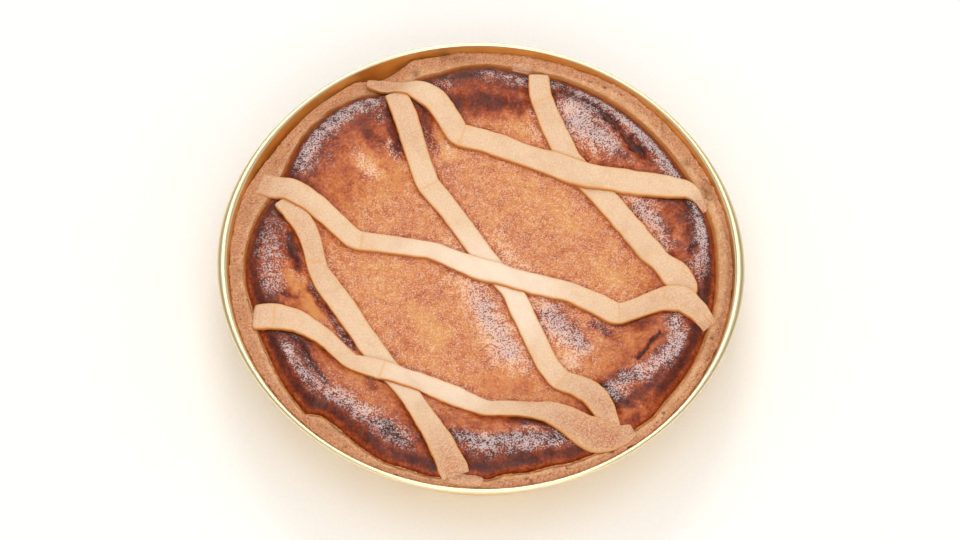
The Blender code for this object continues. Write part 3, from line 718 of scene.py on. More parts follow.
# How the baked skin is coloured. Bands are (half-width, [(x, y, strength), ...]), and a band of one
# point is a round patch. Strength is a level of browning or of sugar, from 0 to about 1.
skin = {
    # browning where there is no band: in the basin, and then (from, to, more) up and over the roll
    "basinBrown": 0.2,
    "rollBrown": [(0.15, 0.6, 0.16), (0.6, 1.0, 0.22), (1.15, 1.5, 0.14)],
    # painted shade in the creases, by their depth
    "creaseShade": 0.14,
    "waveBrown": (0.1, 0.06),  # on the broad and the small waves
    # the line beside each strip is partly browning where it touches and partly painted shade
    "stripBrownAndShade": (0.13, 6.0, 1.5),  # along each strip: level, distance from its middle, half-width
    # the golden foot of the outer flank is a painted reflection
    "footReflection": (0.8, 0.38),  # share and level of the golden foot of the outer flank
    "basinSugar": 0.42,
    "leastSugar": 0.14,
    "driftSugar": 0.95,
    "driftSpread": 1.3,
    "bandWander": (1.6, 6.0),  # how far the bands' edges wander, in bends of that size
    "driftWander": (3.0, 5.0),  # the same for drifts of sugar, which are more ragged
    # the narrow bands that run along the creases are painted shade in them
    "dark": [
        # behind: the upper pillow and the top left roll
        (8, [(-16, 86, 0.66), (0, 87, 0.69), (16, 86.5, 0.66)]),
        (4, [(-24, 100, 0.8), (-10, 100, 0.9), (2, 103, 0.7)]),
        (3.5, [(-33, 84, 0.72), (-28, 72, 0.6), (-24, 62, 0.5)]),
        (5, [(-48, 79, 0.7), (-44, 66, 0.64), (-42, 58, 0.66)]),
        (6, [(-62, 74, 0.58), (-58, 66, 0.66), (-52, 62, 0.62)]),
        (5, [(-88, 46, 0.75), (-84, 58, 0.75), (-76, 68, 0.74), (-64, 80, 0.78), (-54, 84, 0.76)]),
        # left pillow and the band along the left strip
        (6, [(-104, 18, 0.68), (-105, 0, 0.66), (-102, -18, 0.66)]),
        (7, [(-95, 14, 0.55), (-94, 0, 0.52), (-96, -10, 0.48)]),
        (4, [(-90, 6, 0.75), (-86, -8, 0.72)]),
        (3, [(-79, -17, 0.66), (-68, -33, 0.68), (-58, -46, 0.66)]),
        (3, [(-96, -24, 0.66), (-86, -24, 0.56)]),
        # the lobes' outer flanks at the front face away from the light behind: their dark bands are partly
        # browning and partly painted shade
        # lower left lobe
        (5, [(-98, -46, 0.76), (-88, -43, 0.8), (-80, -50, 0.74)]),
        (3, [(-80, -52, 0.72), (-68, -70, 0.76)]),
        (5, [(-90, -54, 0.62), (-70, -76, 0.66), (-48, -88, 0.7), (-32, -98, 0.74)]),
        (3, [(-41, -88, 0.76), (-35, -95, 0.76)]),
        (4, [(-50, -64, 0.5), (-46, -70, 0.45)]),
        # front lobe
        (6, [(-10, -92, 0.78), (4, -96, 0.78), (20, -94, 0.76), (38, -93, 0.76)]),
        (3.5, [(16, -84, 0.66), (30, -86, 0.74), (44, -94, 0.74)]),
        (9, [(-8, -101, 0.64), (6, -103, 0.66), (24, -100, 0.66)]),
        (8, [(-2, -14, 0.4), (6, -28, 0.46), (14, -44, 0.46)]),
        # lower right lobe
        (6, [(62, -62, 0.7), (74, -60, 0.66), (86, -48, 0.66), (92, -36, 0.68), (88, -28, 0.66)]),
        (5, [(58, -66, 0.82), (64, -72, 0.84), (72, -76, 0.76)]),
        (1.1, [(83, -37, 0.86), (73, -51, 0.84)]),
        (4.5, [(54, -29, 0.62), (60, -34, 0.56)]),
        (8, [(34, -24, 0.54), (46, -38, 0.58)]),
        (8, [(64, -38, 0.36), (68, -48, 0.38)]),
        (7, [(70, -30, 0.46), (78, -32, 0.5)]),
        # right
        (3, [(86, -6, 0.74), (90, -12, 0.72)]),
        (4, [(106, 4, 0.52), (106, -8, 0.62)]),
        (4, [(102, 14, 0.62), (102, 30, 0.62)]),
        (3, [(98, 6, 0.74), (99, 11, 0.7)]),
        (2.4, [(84, 34, 0.62), (97, 34, 0.68)]),
        (6, [(66, -75, 0.72), (79, -65, 0.74), (92, -48, 0.72), (99, -34, 0.7)]),
        (7, [(76, 31, 0.58), (86, 22, 0.6), (92, 10, 0.6)]),
        # upper right
        (8, [(44, 78, 0.6), (58, 68, 0.6), (68, 58, 0.56)]),
        (3, [(34, 92, 0.72), (40, 94, 0.74), (50, 88, 0.7), (60, 79, 0.72)]),
        (2.6, [(66, 70, 0.74), (74, 61, 0.76), (80, 55, 0.66)]),
        (5, [(48, 95, 0.6), (66, 82, 0.58), (84, 64, 0.58), (92, 52, 0.58)]),
    ],
    "pale": [
        (3, [(-89, -14, 0.25), (-85, -19, 0.25)]),
        (5, [(-80, -24, 0.2), (-75, -30, 0.2)]),
        (5, [(-32, -26, 0.18), (-18, -38, 0.2)]),
        (4, [(-44, 4, 0.12), (-36, -8, 0.12)]),
        (5, [(8, 48, 0.08), (30, 40, 0.1), (46, 22, 0.12)]),
        (4, [(56, 4, 0.1), (66, -8, 0.14)]),
        (5, [(-56, 50, 0.28)]),
        (3, [(-50, 47, 0.22)]),
        (4, [(-19, 63, 0.3)]),
        (3, [(92, 14, 0.25)]),
        (5, [(66, -82, 0.4), (82, -74, 0.25)]),
        (6, [(12, 74, 0.12), (24, 74, 0.12)]),
        (4, [(-57, -63, 0.14)]),
        (3, [(78, 57, 0.25)]),
    ],
    "sugar": [
        # round the crest, from the right side anticlockwise
        (6, [(102, -4, 0.8), (104, 12, 1.1), (103, 30, 1.1)]),
        (6.5, [(94, 48, 1.05), (84, 63, 1.1), (72, 76, 1.1), (59, 88, 1.05), (47, 96, 1.0), (34, 101, 0.7)]),
        (4, [(20, 98, 0.85), (8, 101, 0.85), (-2, 101, 0.7)]),
        (4.5, [(-20, 94, 0.85), (-26, 95, 0.6)]),
        (5.5, [(-54, 84, 0.85), (-64, 81, 0.95), (-76, 68, 0.9), (-84, 57, 1.0), (-87, 47, 0.95)]),
        (8, [(-99, 12, 0.6), (-98, -4, 0.8), (-97, -18, 0.8)]),
        (3, [(-88, -10, 0.7), (-84, -14, 0.6)]),
        (6, [(-88, -53, 0.95), (-80, -63, 0.85), (-70, -71, 0.9), (-57, -79, 0.9), (-44, -87, 0.9),
             (-32, -96, 0.8)]),
        (7, [(-64, -64, 0.5), (-54, -72, 0.55), (-42, -78, 0.45)]),
        (7, [(-6, -92, 0.75), (4, -96, 1.0), (14, -95, 0.9), (28, -95, 0.9), (42, -93, 0.75)]),
        (5, [(62, -68, 0.95), (68, -61, 0.9), (80, -56, 1.0), (88, -48, 0.95), (92, -40, 1.0),
             (90, -31, 0.95)]),
        # slopes towards the middle
        (8, [(42, 84, 1.15), (48, 72, 1.15), (60, 64, 0.95)]),
        (5, [(44, 88, 0.9), (56, 81, 0.85)]),
        (4, [(60, 60, 0.6), (74, 54, 0.5)]),
        (6, [(70, 38, 0.95), (79, 27, 0.95), (87, 12, 0.95)]),
        (6, [(8, 78, 0.5), (20, 74, 0.75), (27, 70, 0.8)]),
        (2.5, [(21, 83, 0.8), (24, 79, 0.8)]),
        (4, [(-18, 66, 0.9), (-14, 61, 0.8)]),
        (3, [(-28, 69, 0.5)]),
        (4, [(-51, 74, 0.65)]),
        (4.5, [(-46, 58, 0.85), (-41, 55, 0.7)]),
        (5, [(-60, 53, 0.8), (-54, 46, 0.9), (-48, 46, 0.7)]),
        (8, [(-76, 52, 0.45)]),
        (6, [(-58, 32, 0.6), (-54, 22, 0.7)]),
        (8, [(-46, 35, 0.5), (-38, 26, 0.45)]),
        (2.5, [(-73, -25, 0.6), (-64, -37, 0.6)]),
        # the basin
        (6, [(-30, 12, 0.6), (-14, 12, 0.8), (-4, 10, 0.85)]),
        (10, [(-14, -8, 0.7), (-4, -12, 0.95), (3, -26, 1.0), (10, -39, 1.05), (17, -50, 1.0),
              (24, -57, 0.7)]),
        (10, [(-16, -26, 0.6), (-10, -44, 0.65)]),
        (3, [(-48, -38, 0.75), (-42, -46, 0.7)]),
        (8, [(29, -18, 0.9), (36, -32, 1.05), (46, -42, 1.0), (42, -50, 0.9)]),
        (5, [(60, -48, 0.5), (50, -52, 0.4)]),
        (6, [(8, 28, 0.55), (8, 14, 0.85), (16, 0, 0.9), (24, -4, 0.8)]),
        (4, [(46, 36, 0.6), (56, 22, 0.6), (66, 8, 0.6), (74, -4, 0.6)]),
        (5, [(30, -6, 0.6), (50, -10, 0.55)]),
        (2.5, [(-12, -73, 0.6)]),
        (5, [(24, 52, 0.5), (44, 40, 0.5)]),
    ],
    "bare": [
        (6, [(0, -84, 0.5), (14, -84, 0.4)]),
        (6, [(6, -62, 0.45), (24, -62, 0.45)]),
        (6, [(92, 26, 0.7), (92, 16, 0.6)]),
        (5, [(-80, -24, 0.6), (-76, -28, 0.6)]),
        (7, [(16, 87, 0.5), (4, 89, 0.8), (-14, 86, 0.7)]),
        (4, [(-42, 45, 0.5)]),
        (6, [(74, -32, 0.5), (64, -38, 0.3)]),
        (2.6, [(70, 64, 0.7), (77, 58, 0.8)]),
        (4, [(-58, 68, 0.5)]),
        (3, [(100, 8, 0.7)]),
    ],
    "clumps": [
        (2.2, [(-78, -57, 1.0)]),
        (1.8, [(-75, -62, 0.9)]),
        (1.8, [(64, -71, 0.8)]),
        (2.6, [(3, -95, 0.8)]),
        (2.4, [(46, 88, 0.9), (54, 83, 0.8)]),
        (2.2, [(-19, 66, 0.8)]),
        (2.4, [(-46, 58, 0.7)]),
        (2, [(24, 81, 0.8)]),
        (2.4, [(34, -94, 0.7)]),
        (2.4, [(-55, 23, 0.6)]),
    ],
}


def bakedCustardSkin():
    # Baked egg and ricotta skin: glossy, orange in the basin and near black where it browned most, under
    # icing sugar that melted and dried to a cream and pinkish mottle. Its browning level also carries painted
    # shade, in the creases and on the front flanks, and a painted golden reflection at the foot of the flank.
    material, tree, shader, place = newMaterial("bakedCustardSkin")
    bakeAndPaintedLight, sugar = [addNode(tree, "ShaderNodeAttribute", attribute_name=field).outputs["Fac"]
                   for field in ("bakeAndPaintedLight", "sugar")]
    # clouds and flecks of browning, clusters of sugar and its grain: (size, detail, roughness, distortion)
    cloud, fleck, cluster, grain = [
        addNode(tree, "ShaderNodeTexNoise",
                {0: place, "Scale": perMetre(size), "Detail": detail, "Roughness": roughness,
                 "Distortion": distortion}).outputs[0]
        for size, detail, roughness, distortion in ((4.5, 4.0, 0.6, 0.0), (1.3, 3.0, 0.6, 0.0),
                                                    (2.8, 3.0, 0.5, 0.0), (0.75, 3.0, 0.5, 0.3))]
    cloudShift, fleckShift, clusterShift = [
        addNode(tree, "ShaderNodeMapRange", {0: pattern, 1: low, 2: high, 3: -shift, 4: shift}).outputs[0]
        for pattern, low, high, shift in ((cloud, 0.3, 0.7, 0.11), (fleck, 0.32, 0.68, -0.1),
                                          (cluster, 0.3, 0.7, 0.32))]
    level = bakeAndPaintedLight
    for shift in (cloudShift, fleckShift):
        level = addNode(tree, "ShaderNodeMath", {0: level, 1: shift}, operation="ADD").outputs[0]
    tone = addNode(tree, "ShaderNodeValToRGB", {0: level},
                   [(0.02, "#d38f50"), (0.2, "#c97843"), (0.36, "#ae562a"), (0.52, "#8a350e"),
                    (0.66, "#652106"), (0.8, "#481306"), (0.98, "#330e08")]).outputs[0]
    # red-brown specks about a millimetre wide and some millimetres apart
    dots = addNode(tree, "ShaderNodeTexVoronoi", {0: place, "Scale": perMetre(5.0)}).outputs[0]
    dotShare = addNode(tree, "ShaderNodeMapRange", {0: dots, 1: 0.06, 2: 0.14, 3: 0.7, 4: 0.0}).outputs[0]
    # sugar shows where a fine noise passes a threshold that falls as the cover grows, in small clusters
    level = addNode(tree, "ShaderNodeMath", {0: sugar, 1: clusterShift}, operation="ADD").outputs[0]
    threshold = addNode(tree, "ShaderNodeMapRange", {0: level, 1: 0.0, 2: 1.0, 3: 0.68, 4: 0.42}).outputs[0]
    over = addNode(tree, "ShaderNodeMath", {0: grain, 1: threshold}, operation="SUBTRACT").outputs[0]
    cover = addNode(tree, "ShaderNodeMapRange", {0: over, 1: -0.03, 2: 0.07}).outputs[0]
    # thin sugar has melted away, and thick sugar hides three quarters of the skin
    body = addNode(tree, "ShaderNodeMapRange", {0: sugar, 1: 0.12, 2: 0.9, 3: 0.0, 4: 0.76}).outputs[0]
    cover = addNode(tree, "ShaderNodeMath", {0: cover, 1: body}, operation="MULTIPLY").outputs[0]
    tint = addNode(tree, "ShaderNodeValToRGB", {0: bakeAndPaintedLight},
                   [(0.2, "#f2cdae"), (0.42, "#ecd1c4"), (0.66, "#d9c3c2")]).outputs[0]
    for share, colour in ((dotShare, hexColour("#8c3516")), (cover, tint)):
        tone = addNode(tree, "ShaderNodeMix", {0: share, 6: tone, 7: colour}, data_type="RGBA").outputs[2]
    gloss = addNode(tree, "ShaderNodeMapRange", {0: cover, 3: 0.28, 4: 0.46}).outputs[0]
    fine = addNode(tree, "ShaderNodeBump", {"Strength": 0.6, "Distance": 0.25 * mm, "Height": grain})
    relief = addNode(tree, "ShaderNodeBump", {"Strength": 0.7, "Distance": 0.5 * mm, "Height": fleck,
                                              "Normal": fine.outputs[0]})
    setInputs(tree, shader, {"Base Color": tone, "Roughness": gloss, "Normal": relief.outputs[0],
                             "Specular IOR Level": 0.32})
    return material


def discGrid(count):
    # a square grid bent into a disc: each point's share of the radius, 0 to 1, and its azimuth
    side = np.linspace(-1, 1, count + 1)
    a, b = np.meshgrid(side, side, indexing="ij")
    wide = np.abs(a) >= np.abs(b)
    major, minor = np.where(wide, a, b), np.where(wide, b, a)
    turn = np.divide(minor, major, out=np.zeros_like(a), where=major != 0) * np.pi / 4
    return np.abs(major), np.where(wide, turn, np.pi / 2 - turn) + np.where(major < 0, np.pi, 0)


def gridBorder(last):
    # the numbers of the outermost points, once round from azimuth 0
    loop = [(last, j) for j in range(last // 2, last)]
    loop += [(i, last) for i in range(last, 0, -1)]
    loop += [(0, j) for j in range(last, 0, -1)]
    loop += [(i, 0) for i in range(0, last)]
    loop += [(last, j) for j in range(0, last // 2)]
    return [i * (last + 1) + j for i, j in loop]


def fillingForm(x, y):
    # the smooth form; how far up the roll a point is: 0 in the basin, 1 on the crest, 2 at the case; and
    # how free it is to move: 0 at the case, 1 from the crest inwards
    radius, azimuth = np.hypot(x, y), np.arctan2(y, x)
    edge = rimInnerRadius(azimuth) - crust["wallGap"]
    crestRadius = edge - filling["crestInset"]
    crest = withChanges(filling["crestHeight"], azimuth, filling["crestChanges"])
    basin = withChanges(filling["basinRadius"], azimuth, filling["basinChanges"])
    soft = filling["edgeSoftness"]
    climb = soft * np.logaddexp(0, (radius - basin) / (crestRadius - basin) / soft)
    share = np.clip(climb, 0, 1)
    drop = np.clip((radius - crestRadius) / (edge - crestRadius), 0, 1)
    contact = contactHeight(azimuth)
    inside = filling["basinHeight"] + (crest - filling["basinHeight"]) * np.sin(np.pi / 2 * share)
    outside = contact + (crest - contact) * np.sqrt(1 - drop ** 2)
    free = np.clip((edge - radius) / filling["crestInset"], 0, 1)
    return np.where(radius < crestRadius, inside, outside), share + drop, free


def closeBelow(skinPoints, faces, border):
    # closes the filling under its skin, along the case's wall and base
    bottom = tin["sheet"] + crust["base"] + 2 * crust["wallGap"]
    rounding, gap = crust["innerFoot"], crust["wallGap"]
    around = np.arctan2(skinPoints[border, 1], skinPoints[border, 0])
    slope = math.tan(tin["draft"])
    points, above = [skinPoints], border
    for z, inset in ((bottom + rounding, gap), (bottom, rounding + gap)):
        start = sum(len(p) for p in points)
        low = rimInnerRadius(around) - (contactHeight(around) - z) * slope - inset
        points.append(turned(low, around, z))
        below = list(range(start, start + len(border)))
        for i in range(len(border)):
            j = (i + 1) % len(border)
            faces.append((above[j], above[i], below[i], below[j]))
        above = below
    middle = sum(len(p) for p in points)
    points.append(np.array([[0, 0, bottom]]))
    faces += [(middle, above[(i + 1) % len(above)], above[i]) for i in range(len(above))]
    return np.concatenate(points)


def buildFilling():
    count = filling["grid"]
    share, azimuth = discGrid(count)
    share = (1 - filling["crowding"]) * share + filling["crowding"] * np.sin(np.pi / 2 * share)
    radius = share * (rimInnerRadius(azimuth) + filling["intoCrust"])
    x, y = radius * np.cos(azimuth), radius * np.sin(azimuth)
    height, climb, free = fillingForm(x, y)
    plan = np.stack([x, y, 0 * x], axis=-1)
    broadSize, smallSize, ridgeSize = filling["waveSizes"]
    broad = lumps(plan, broadSize, 3, 5.3)
    small = lumps(plan, smallSize, 3, 17.9)
    ridge = 1 - 2 * np.abs(lumps(plan, ridgeSize, 3, 31.4))
    # bands are read at slightly shifted places, so their edges wander
    wander, size = skin["bandWander"]
    wx, wy = [side + wander * lumps(plan, size, 3, shift) for side, shift in ((x, 51.0), (y, 77.0))]
    crease = np.zeros(x.shape)
    for halfWidth, path in filling["creases"]:
        away, depth = nearestOnPath(wx, wy, path)
        crease = np.maximum(crease, depth * np.exp(-(away / halfWidth) ** 2))
    toStrip = np.min([nearestOnPath(x, y, path)[0] for path in stripPaths], axis=0)
    press = filling["pressDepth"] * np.exp(-(toStrip / filling["pressWidth"]) ** 2)
    swellHeight, swellAt, swellWidth = filling["swell"]
    swell = swellHeight * np.exp(-((toStrip - swellAt) / swellWidth) ** 2)
    swell = swell * (0.3 + 0.7 * smoothStep(climb, 0.1, 0.6))
    onRoll = smoothStep(climb, 0.1, 0.7)
    clear = smoothStep(toStrip, 4.0, 8.0)  # dough has pressed the skin smooth under the strips
    basinBroad, basinSmall = filling["basinWaves"]
    rollBroad, rollSmall, rollRidge = filling["rollWaves"]
    waves = (basinBroad * broad + basinSmall * small) * (1 - onRoll)
    waves = waves + (rollBroad * broad + rollSmall * small + rollRidge * ridge) * onRoll
    height = height + free * (clear * waves + swell - press - crease)
    skinPoints = np.stack([x, y, height], axis=-1).reshape(-1, 3)
    faces = [tuple(face)[::-1] for face in gridFaces(count + 1, count + 1, False)]
    points = closeBelow(skinPoints, faces, gridBorder(count))

    # browning: orange in the basin, browner up the roll, then the bands; painted shade darkens the creases
    creased = np.clip(crease / 2.0, 0, 1)
    brown = skin["basinBrown"]
    for low, high, more in skin["rollBrown"]:
        brown = brown + more * smoothStep(climb, low, high)
    bakeAndPaintedLight = np.maximum(brown, trailField(wx, wy, skin["dark"])) - trailField(wx, wy, skin["pale"])
    broadBrown, smallBrown = skin["waveBrown"]
    bakeAndPaintedLight = bakeAndPaintedLight + skin["creaseShade"] * creased + broadBrown * broad + smallBrown * small
    # beside each strip: partly browning where it touches, partly painted shade
    lineBrown, lineAt, lineWidth = skin["stripBrownAndShade"]
    bakeAndPaintedLight = bakeAndPaintedLight + lineBrown * np.exp(-((toStrip - lineAt) / lineWidth) ** 2)
    # painted golden reflection: the foot of the outer flank, where it lies against the case, is made golden
    goldShare, goldLevel = skin["footReflection"]
    golden = goldShare * smoothStep(climb + 0.12 * broad, 1.65, 1.95)
    bakeAndPaintedLight = bakeAndPaintedLight - golden * (bakeAndPaintedLight - goldLevel)
    wander, size = skin["driftWander"]
    sugarX, sugarY = [side + wander * lumps(plan, size, 3, shift) for side, shift in ((x, 63.0), (y, 91.0))]
    drifts = trailField(sugarX, sugarY, skin["sugar"], skin["driftSpread"])
    frost = skin["basinSugar"] * (1 - onRoll) + skin["leastSugar"]
    frost = np.maximum(frost, skin["driftSugar"] * drifts)
    # the skin is smooth and bare on the outer flank, from further up in front than behind
    front = smoothStep(-y / np.maximum(np.hypot(x, y), 1.0), -0.1, 0.35)
    slick = front * smoothStep(climb, 1.1, 1.55) + (1 - front) * smoothStep(climb, 1.5, 1.9)
    frost = frost * (1 - trailField(wx, wy, skin["bare"])) * (1 - slick)
    frost = frost * (1 - 0.5 * creased) + 0.08 * small * (1 - slick)
    frost = np.maximum(frost, trailField(wx, wy, skin["clumps"]))
    grainy = 0.6 * smoothStep(frost, 0.65, 1.1) * smoothStep(toStrip, 5.5, 6.5)
    fields = {
        "bakeAndPaintedLight": (np.clip(bakeAndPaintedLight, 0, 1), 0.5),
        "sugar": (np.clip(frost, 0, 1.2), 0.0),
        "grainCover": (grainy, 0.0),
    }
    piece = makePiece("fillingBaked", points, faces, bakedCustardSkin(), fields)
    handOver(piece, "filling", "filling")
    return piece


fillingBaked = buildFilling()
print("filling made,", len(fillingBaked.data.polygons), "faces")


# Lattice strips: rolled shortcrust, cut by hand, laid on and pressed into the soft filling.
strip = {
    "thickness": 2.4,
    "station": 0.7,
    "corner": 3.5,  # a bend of the route is rounded over this length each way
    "topPoints": 19,
    "flatShare": 0.78,  # of the half width, where the rounded side begins
    "lanes": 9,  # lines along a strip, on which the height of what lies under it is taken
    "tautPasses": 8,
    "smoothPasses": 3,
    "sunk": 0.35,
    "outermost": 117.0,  # no strip reaches further out
    "wander": (0.3, 9.0),  # how much the half width varies, over what length
    "dentSize": 5.0,
    "grainSize": 1.8,
    "foldWidth": 0.7,
    "foldReach": 3.0,  # a fold is made on a strip whose middle line passes this near to its place
    "crackWidth": 0.45,
    "flapLift": 2.3,  # the loose end of the back strip
    "flapLength": 18.0,
    "endCorner": 1.5,  # a free end's corners are rounded over this length
    "endThin": 1.2,  # every end thins over this length
    "endShare": 0.2,  # and one that merges into the crust keeps this share of its thickness
    # length over which each end thins and browns into the crust, 0 for one that lies free
    "mergedEnds": {
        "stripOverFront": (0.0, 30.0),
        "stripOverMiddle": (12.0, 8.0),
        "stripOverBack": (0.0, 14.0),
        "stripUnderLeft": (0.0, 10.0),
    },
    # sharp folds across the strips, most of them at the foot of the roll
    "folds": [(-27, 43), (-12, 71), (-57, 12), (65, -25), (26, 88), (-94, -36), (38, -60), (-44, -58),
              (-77.5, -3.5)],
    "cracks": [
        [(84, -13), (86, -16), (85, -18), (88, -21)],
        [(92, 0), (95, -2), (94, -5), (96, -7)],
        [(104, -28), (107, -31)],
    ],
    # browner lengths, both toasted ends and painted shade on slopes that face away from the light:
    # (half-width, [(x, y, strength)])
    "toastAndSlopeShade": [
        (9, [(-96, 26, 0.3), (-82, 6, 0.32), (-76, -10, 0.2)]),
        (9, [(-45, 90, 0.3), (-36, 68, 0.25)]),
        (8, [(70, -24, 0.15), (86, -19, 0.3), (101, -26, 0.4)]),
        (9, [(44, -62, 0.3), (58, -76, 0.8)]),
        (9, [(26, 100, 0.2), (32, 78, 0.15)]),
        (9, [(-104, -36, 0.45), (-94, -35, 0.2)]),
        (9, [(-107, 36, 0.5), (-96, 34, 0.3)]),
        (13, [(32, -79, 0.4), (44, -85, 0.85), (60, -92, 1.0)]),
        (9, [(-22, -84, 0.15), (-10, -108, 0.9)]),
        (8, [(88, -4, 0.15), (97, -12, 0.3)]),
        (7, [(-59, 95, 0.85), (-48, 97, 0.7)]),
    ],
    # painted sheen: lengths near the middle whitened where the light's glare falls
    "paintedSheen": [
        (16, [(-26, 6, 0.3), (0, -2, 0.5), (24, -10, 0.45)]),
        (14, [(8, -8, 0.45), (20, -26, 0.4)]),
        (12, [(-34, -61, 0.3), (-6, -70, 0.35)]),
    ],
}


def shortcrustStrip():
    # Rolled shortcrust: pale, dull and fine-grained, golden where its edges touched the hot filling. Painted
    # light is mixed in: shade on the rounded edges, in the folds and on slopes turned from the light, and a
    # whitish sheen near the middle.
    material, tree, shader, place = newMaterial("shortcrustStrip")
    edge, toast, paintedSheen = [addNode(tree, "ShaderNodeAttribute", attribute_name=field).outputs["Fac"]
                           for field in ("edge", "toast", "paintedSheen")]
    # blotches, the flour's texture and a fine grain: (size, detail, roughness)
    blotch, flour, grain = [
        addNode(tree, "ShaderNodeTexNoise",
                {0: place, "Scale": perMetre(size), "Detail": detail, "Roughness": roughness}).outputs[0]
        for size, detail, roughness in ((8.0, 3.0, 0.5), (0.7, 3.0, 0.6), (0.6, 2.0, 0.5))]
    doughTones = [(0.3, "#dab48f"), (0.5, "#e3c2a0"), (0.7, "#ebceb1")]
    dough, crumb = [addNode(tree, "ShaderNodeValToRGB", {0: flour}, tones).outputs[0]
                    for tones in (doughTones, crumbTonesWithShade)]
    browner = addNode(tree, "ShaderNodeMapRange", {0: blotch, 1: 0.5, 2: 0.8, 3: 0.0, 4: 0.4}).outputs[0]
    baked = addNode(tree, "ShaderNodeValToRGB", {0: edge},
                    [(0.2, "#e3a866"), (0.6, "#db9448"), (0.98, "#c47a36")]).outputs[0]
    tone = dough
    # the near-white mix is a painted sheen; toast and edge also carry painted shade
    for share, colour in ((browner, hexColour("#cb986c")), (toast, crumb),
                          (paintedSheen, hexColour("#fcefdf")), (edge, baked)):
        tone = addNode(tree, "ShaderNodeMix", {0: share, 6: tone, 7: colour}, data_type="RGBA").outputs[2]
    fine = addNode(tree, "ShaderNodeBump", {"Strength": 0.3, "Distance": 0.08 * mm, "Height": grain})
    relief = addNode(tree, "ShaderNodeBump", {"Strength": 0.25, "Distance": 0.12 * mm, "Height": flour,
                                              "Normal": fine.outputs[0]})
    setInputs(tree, shader, {"Base Color": tone, "Normal": relief.outputs[0], "Roughness": 0.8,
                             "Specular IOR Level": 0.25})
    return material


def stripStations(route):
    # evenly spaced (x, y, width) along straight runs, with a running mean to round the corners
    knots = np.array(route, float)
    along = np.concatenate([[0], np.cumsum(np.hypot(*np.diff(knots[:, :2], axis=0).T))])
    stops = np.linspace(0, along[-1], round(along[-1] / strip["station"]) + 1)
    line = np.stack([np.interp(stops, along, knots[:, k]) for k in range(3)], axis=1)
    reach = round(strip["corner"] / strip["station"])
    weights = np.hanning(2 * reach + 3)[1:-1]
    before = 2 * line[0] - line[reach:0:-1]
    after = 2 * line[-1] - line[-2:-2 - reach:-1]
    longer = np.vstack([before, line, after])
    rounded = [np.convolve(longer[:, k], weights / weights.sum(), "valid") for k in range(3)]
    return np.stack(rounded, axis=1), stops


def ribbonSection():
    # points round a strip's section: (share of the half width, share of the thickness, edge colour); the edge
    # colour is the golden bake of the sides, with painted shade on the rounded top corners
    flat = strip["flatShare"]
    side = [(0.86, 0.93, 0.35), (0.92, 0.84, 0.65), (0.965, 0.7, 0.9), (0.992, 0.52, 1.0), (1.0, 0.36, 1.0),
            (1.0, 0.18, 1.0), (0.97, 0.0, 1.0)]
    top = np.linspace(-flat, flat, strip["topPoints"])[::-1]
    upper = [(u, 0.97 + 0.13 * (1 - (u / flat) ** 2), 0.15 * (u / flat) ** 8) for u in top]
    left = [(-u, v, e) for u, v, e in side]
    return np.array([(0.5, 0.0, 1.0), *side[::-1], *upper, *left, (-0.5, 0.0, 1.0)])


def drapedHeights(tree, laneX, laneY):
    # a strip lies on what is under it, pulled taut over the hollows and a little smoothed
    under = np.array([[heightUnder(tree, a, b) for a, b in zip(*row)] for row in zip(laneX, laneY)])
    support = under.copy()
    for _ in range(strip["tautPasses"]):
        under[1:-1] = np.maximum(support[1:-1], (under[:-2] + under[2:]) / 2)
    for _ in range(strip["smoothPasses"]):
        under[1:-1] = (under[:-2] + 2 * under[1:-1] + under[2:]) / 4
        under[:, 1:-1] = (under[:, :-2] + 2 * under[:, 1:-1] + under[:, 2:]) / 4
    return under


def foldsAndCracks(x, y, stations, stops, dents):
    groove = np.zeros(x.shape)
    for foldX, foldY in strip["folds"]:
        near = np.hypot(stations[:, 0] - foldX, stations[:, 1] - foldY)
        if near.min() < strip["foldReach"]:
            away = (stops - stops[near.argmin()])[:, None] + 0.5 * dents
            groove = np.maximum(groove, 0.75 * np.exp(-away ** 2 / strip["foldWidth"] ** 2))
    for crack in strip["cracks"]:
        away, _ = nearestOnPath(x, y, [(a, b, 0) for a, b in crack])
        groove = np.maximum(groove, np.exp(-(away / strip["crackWidth"]) ** 2))
    return groove


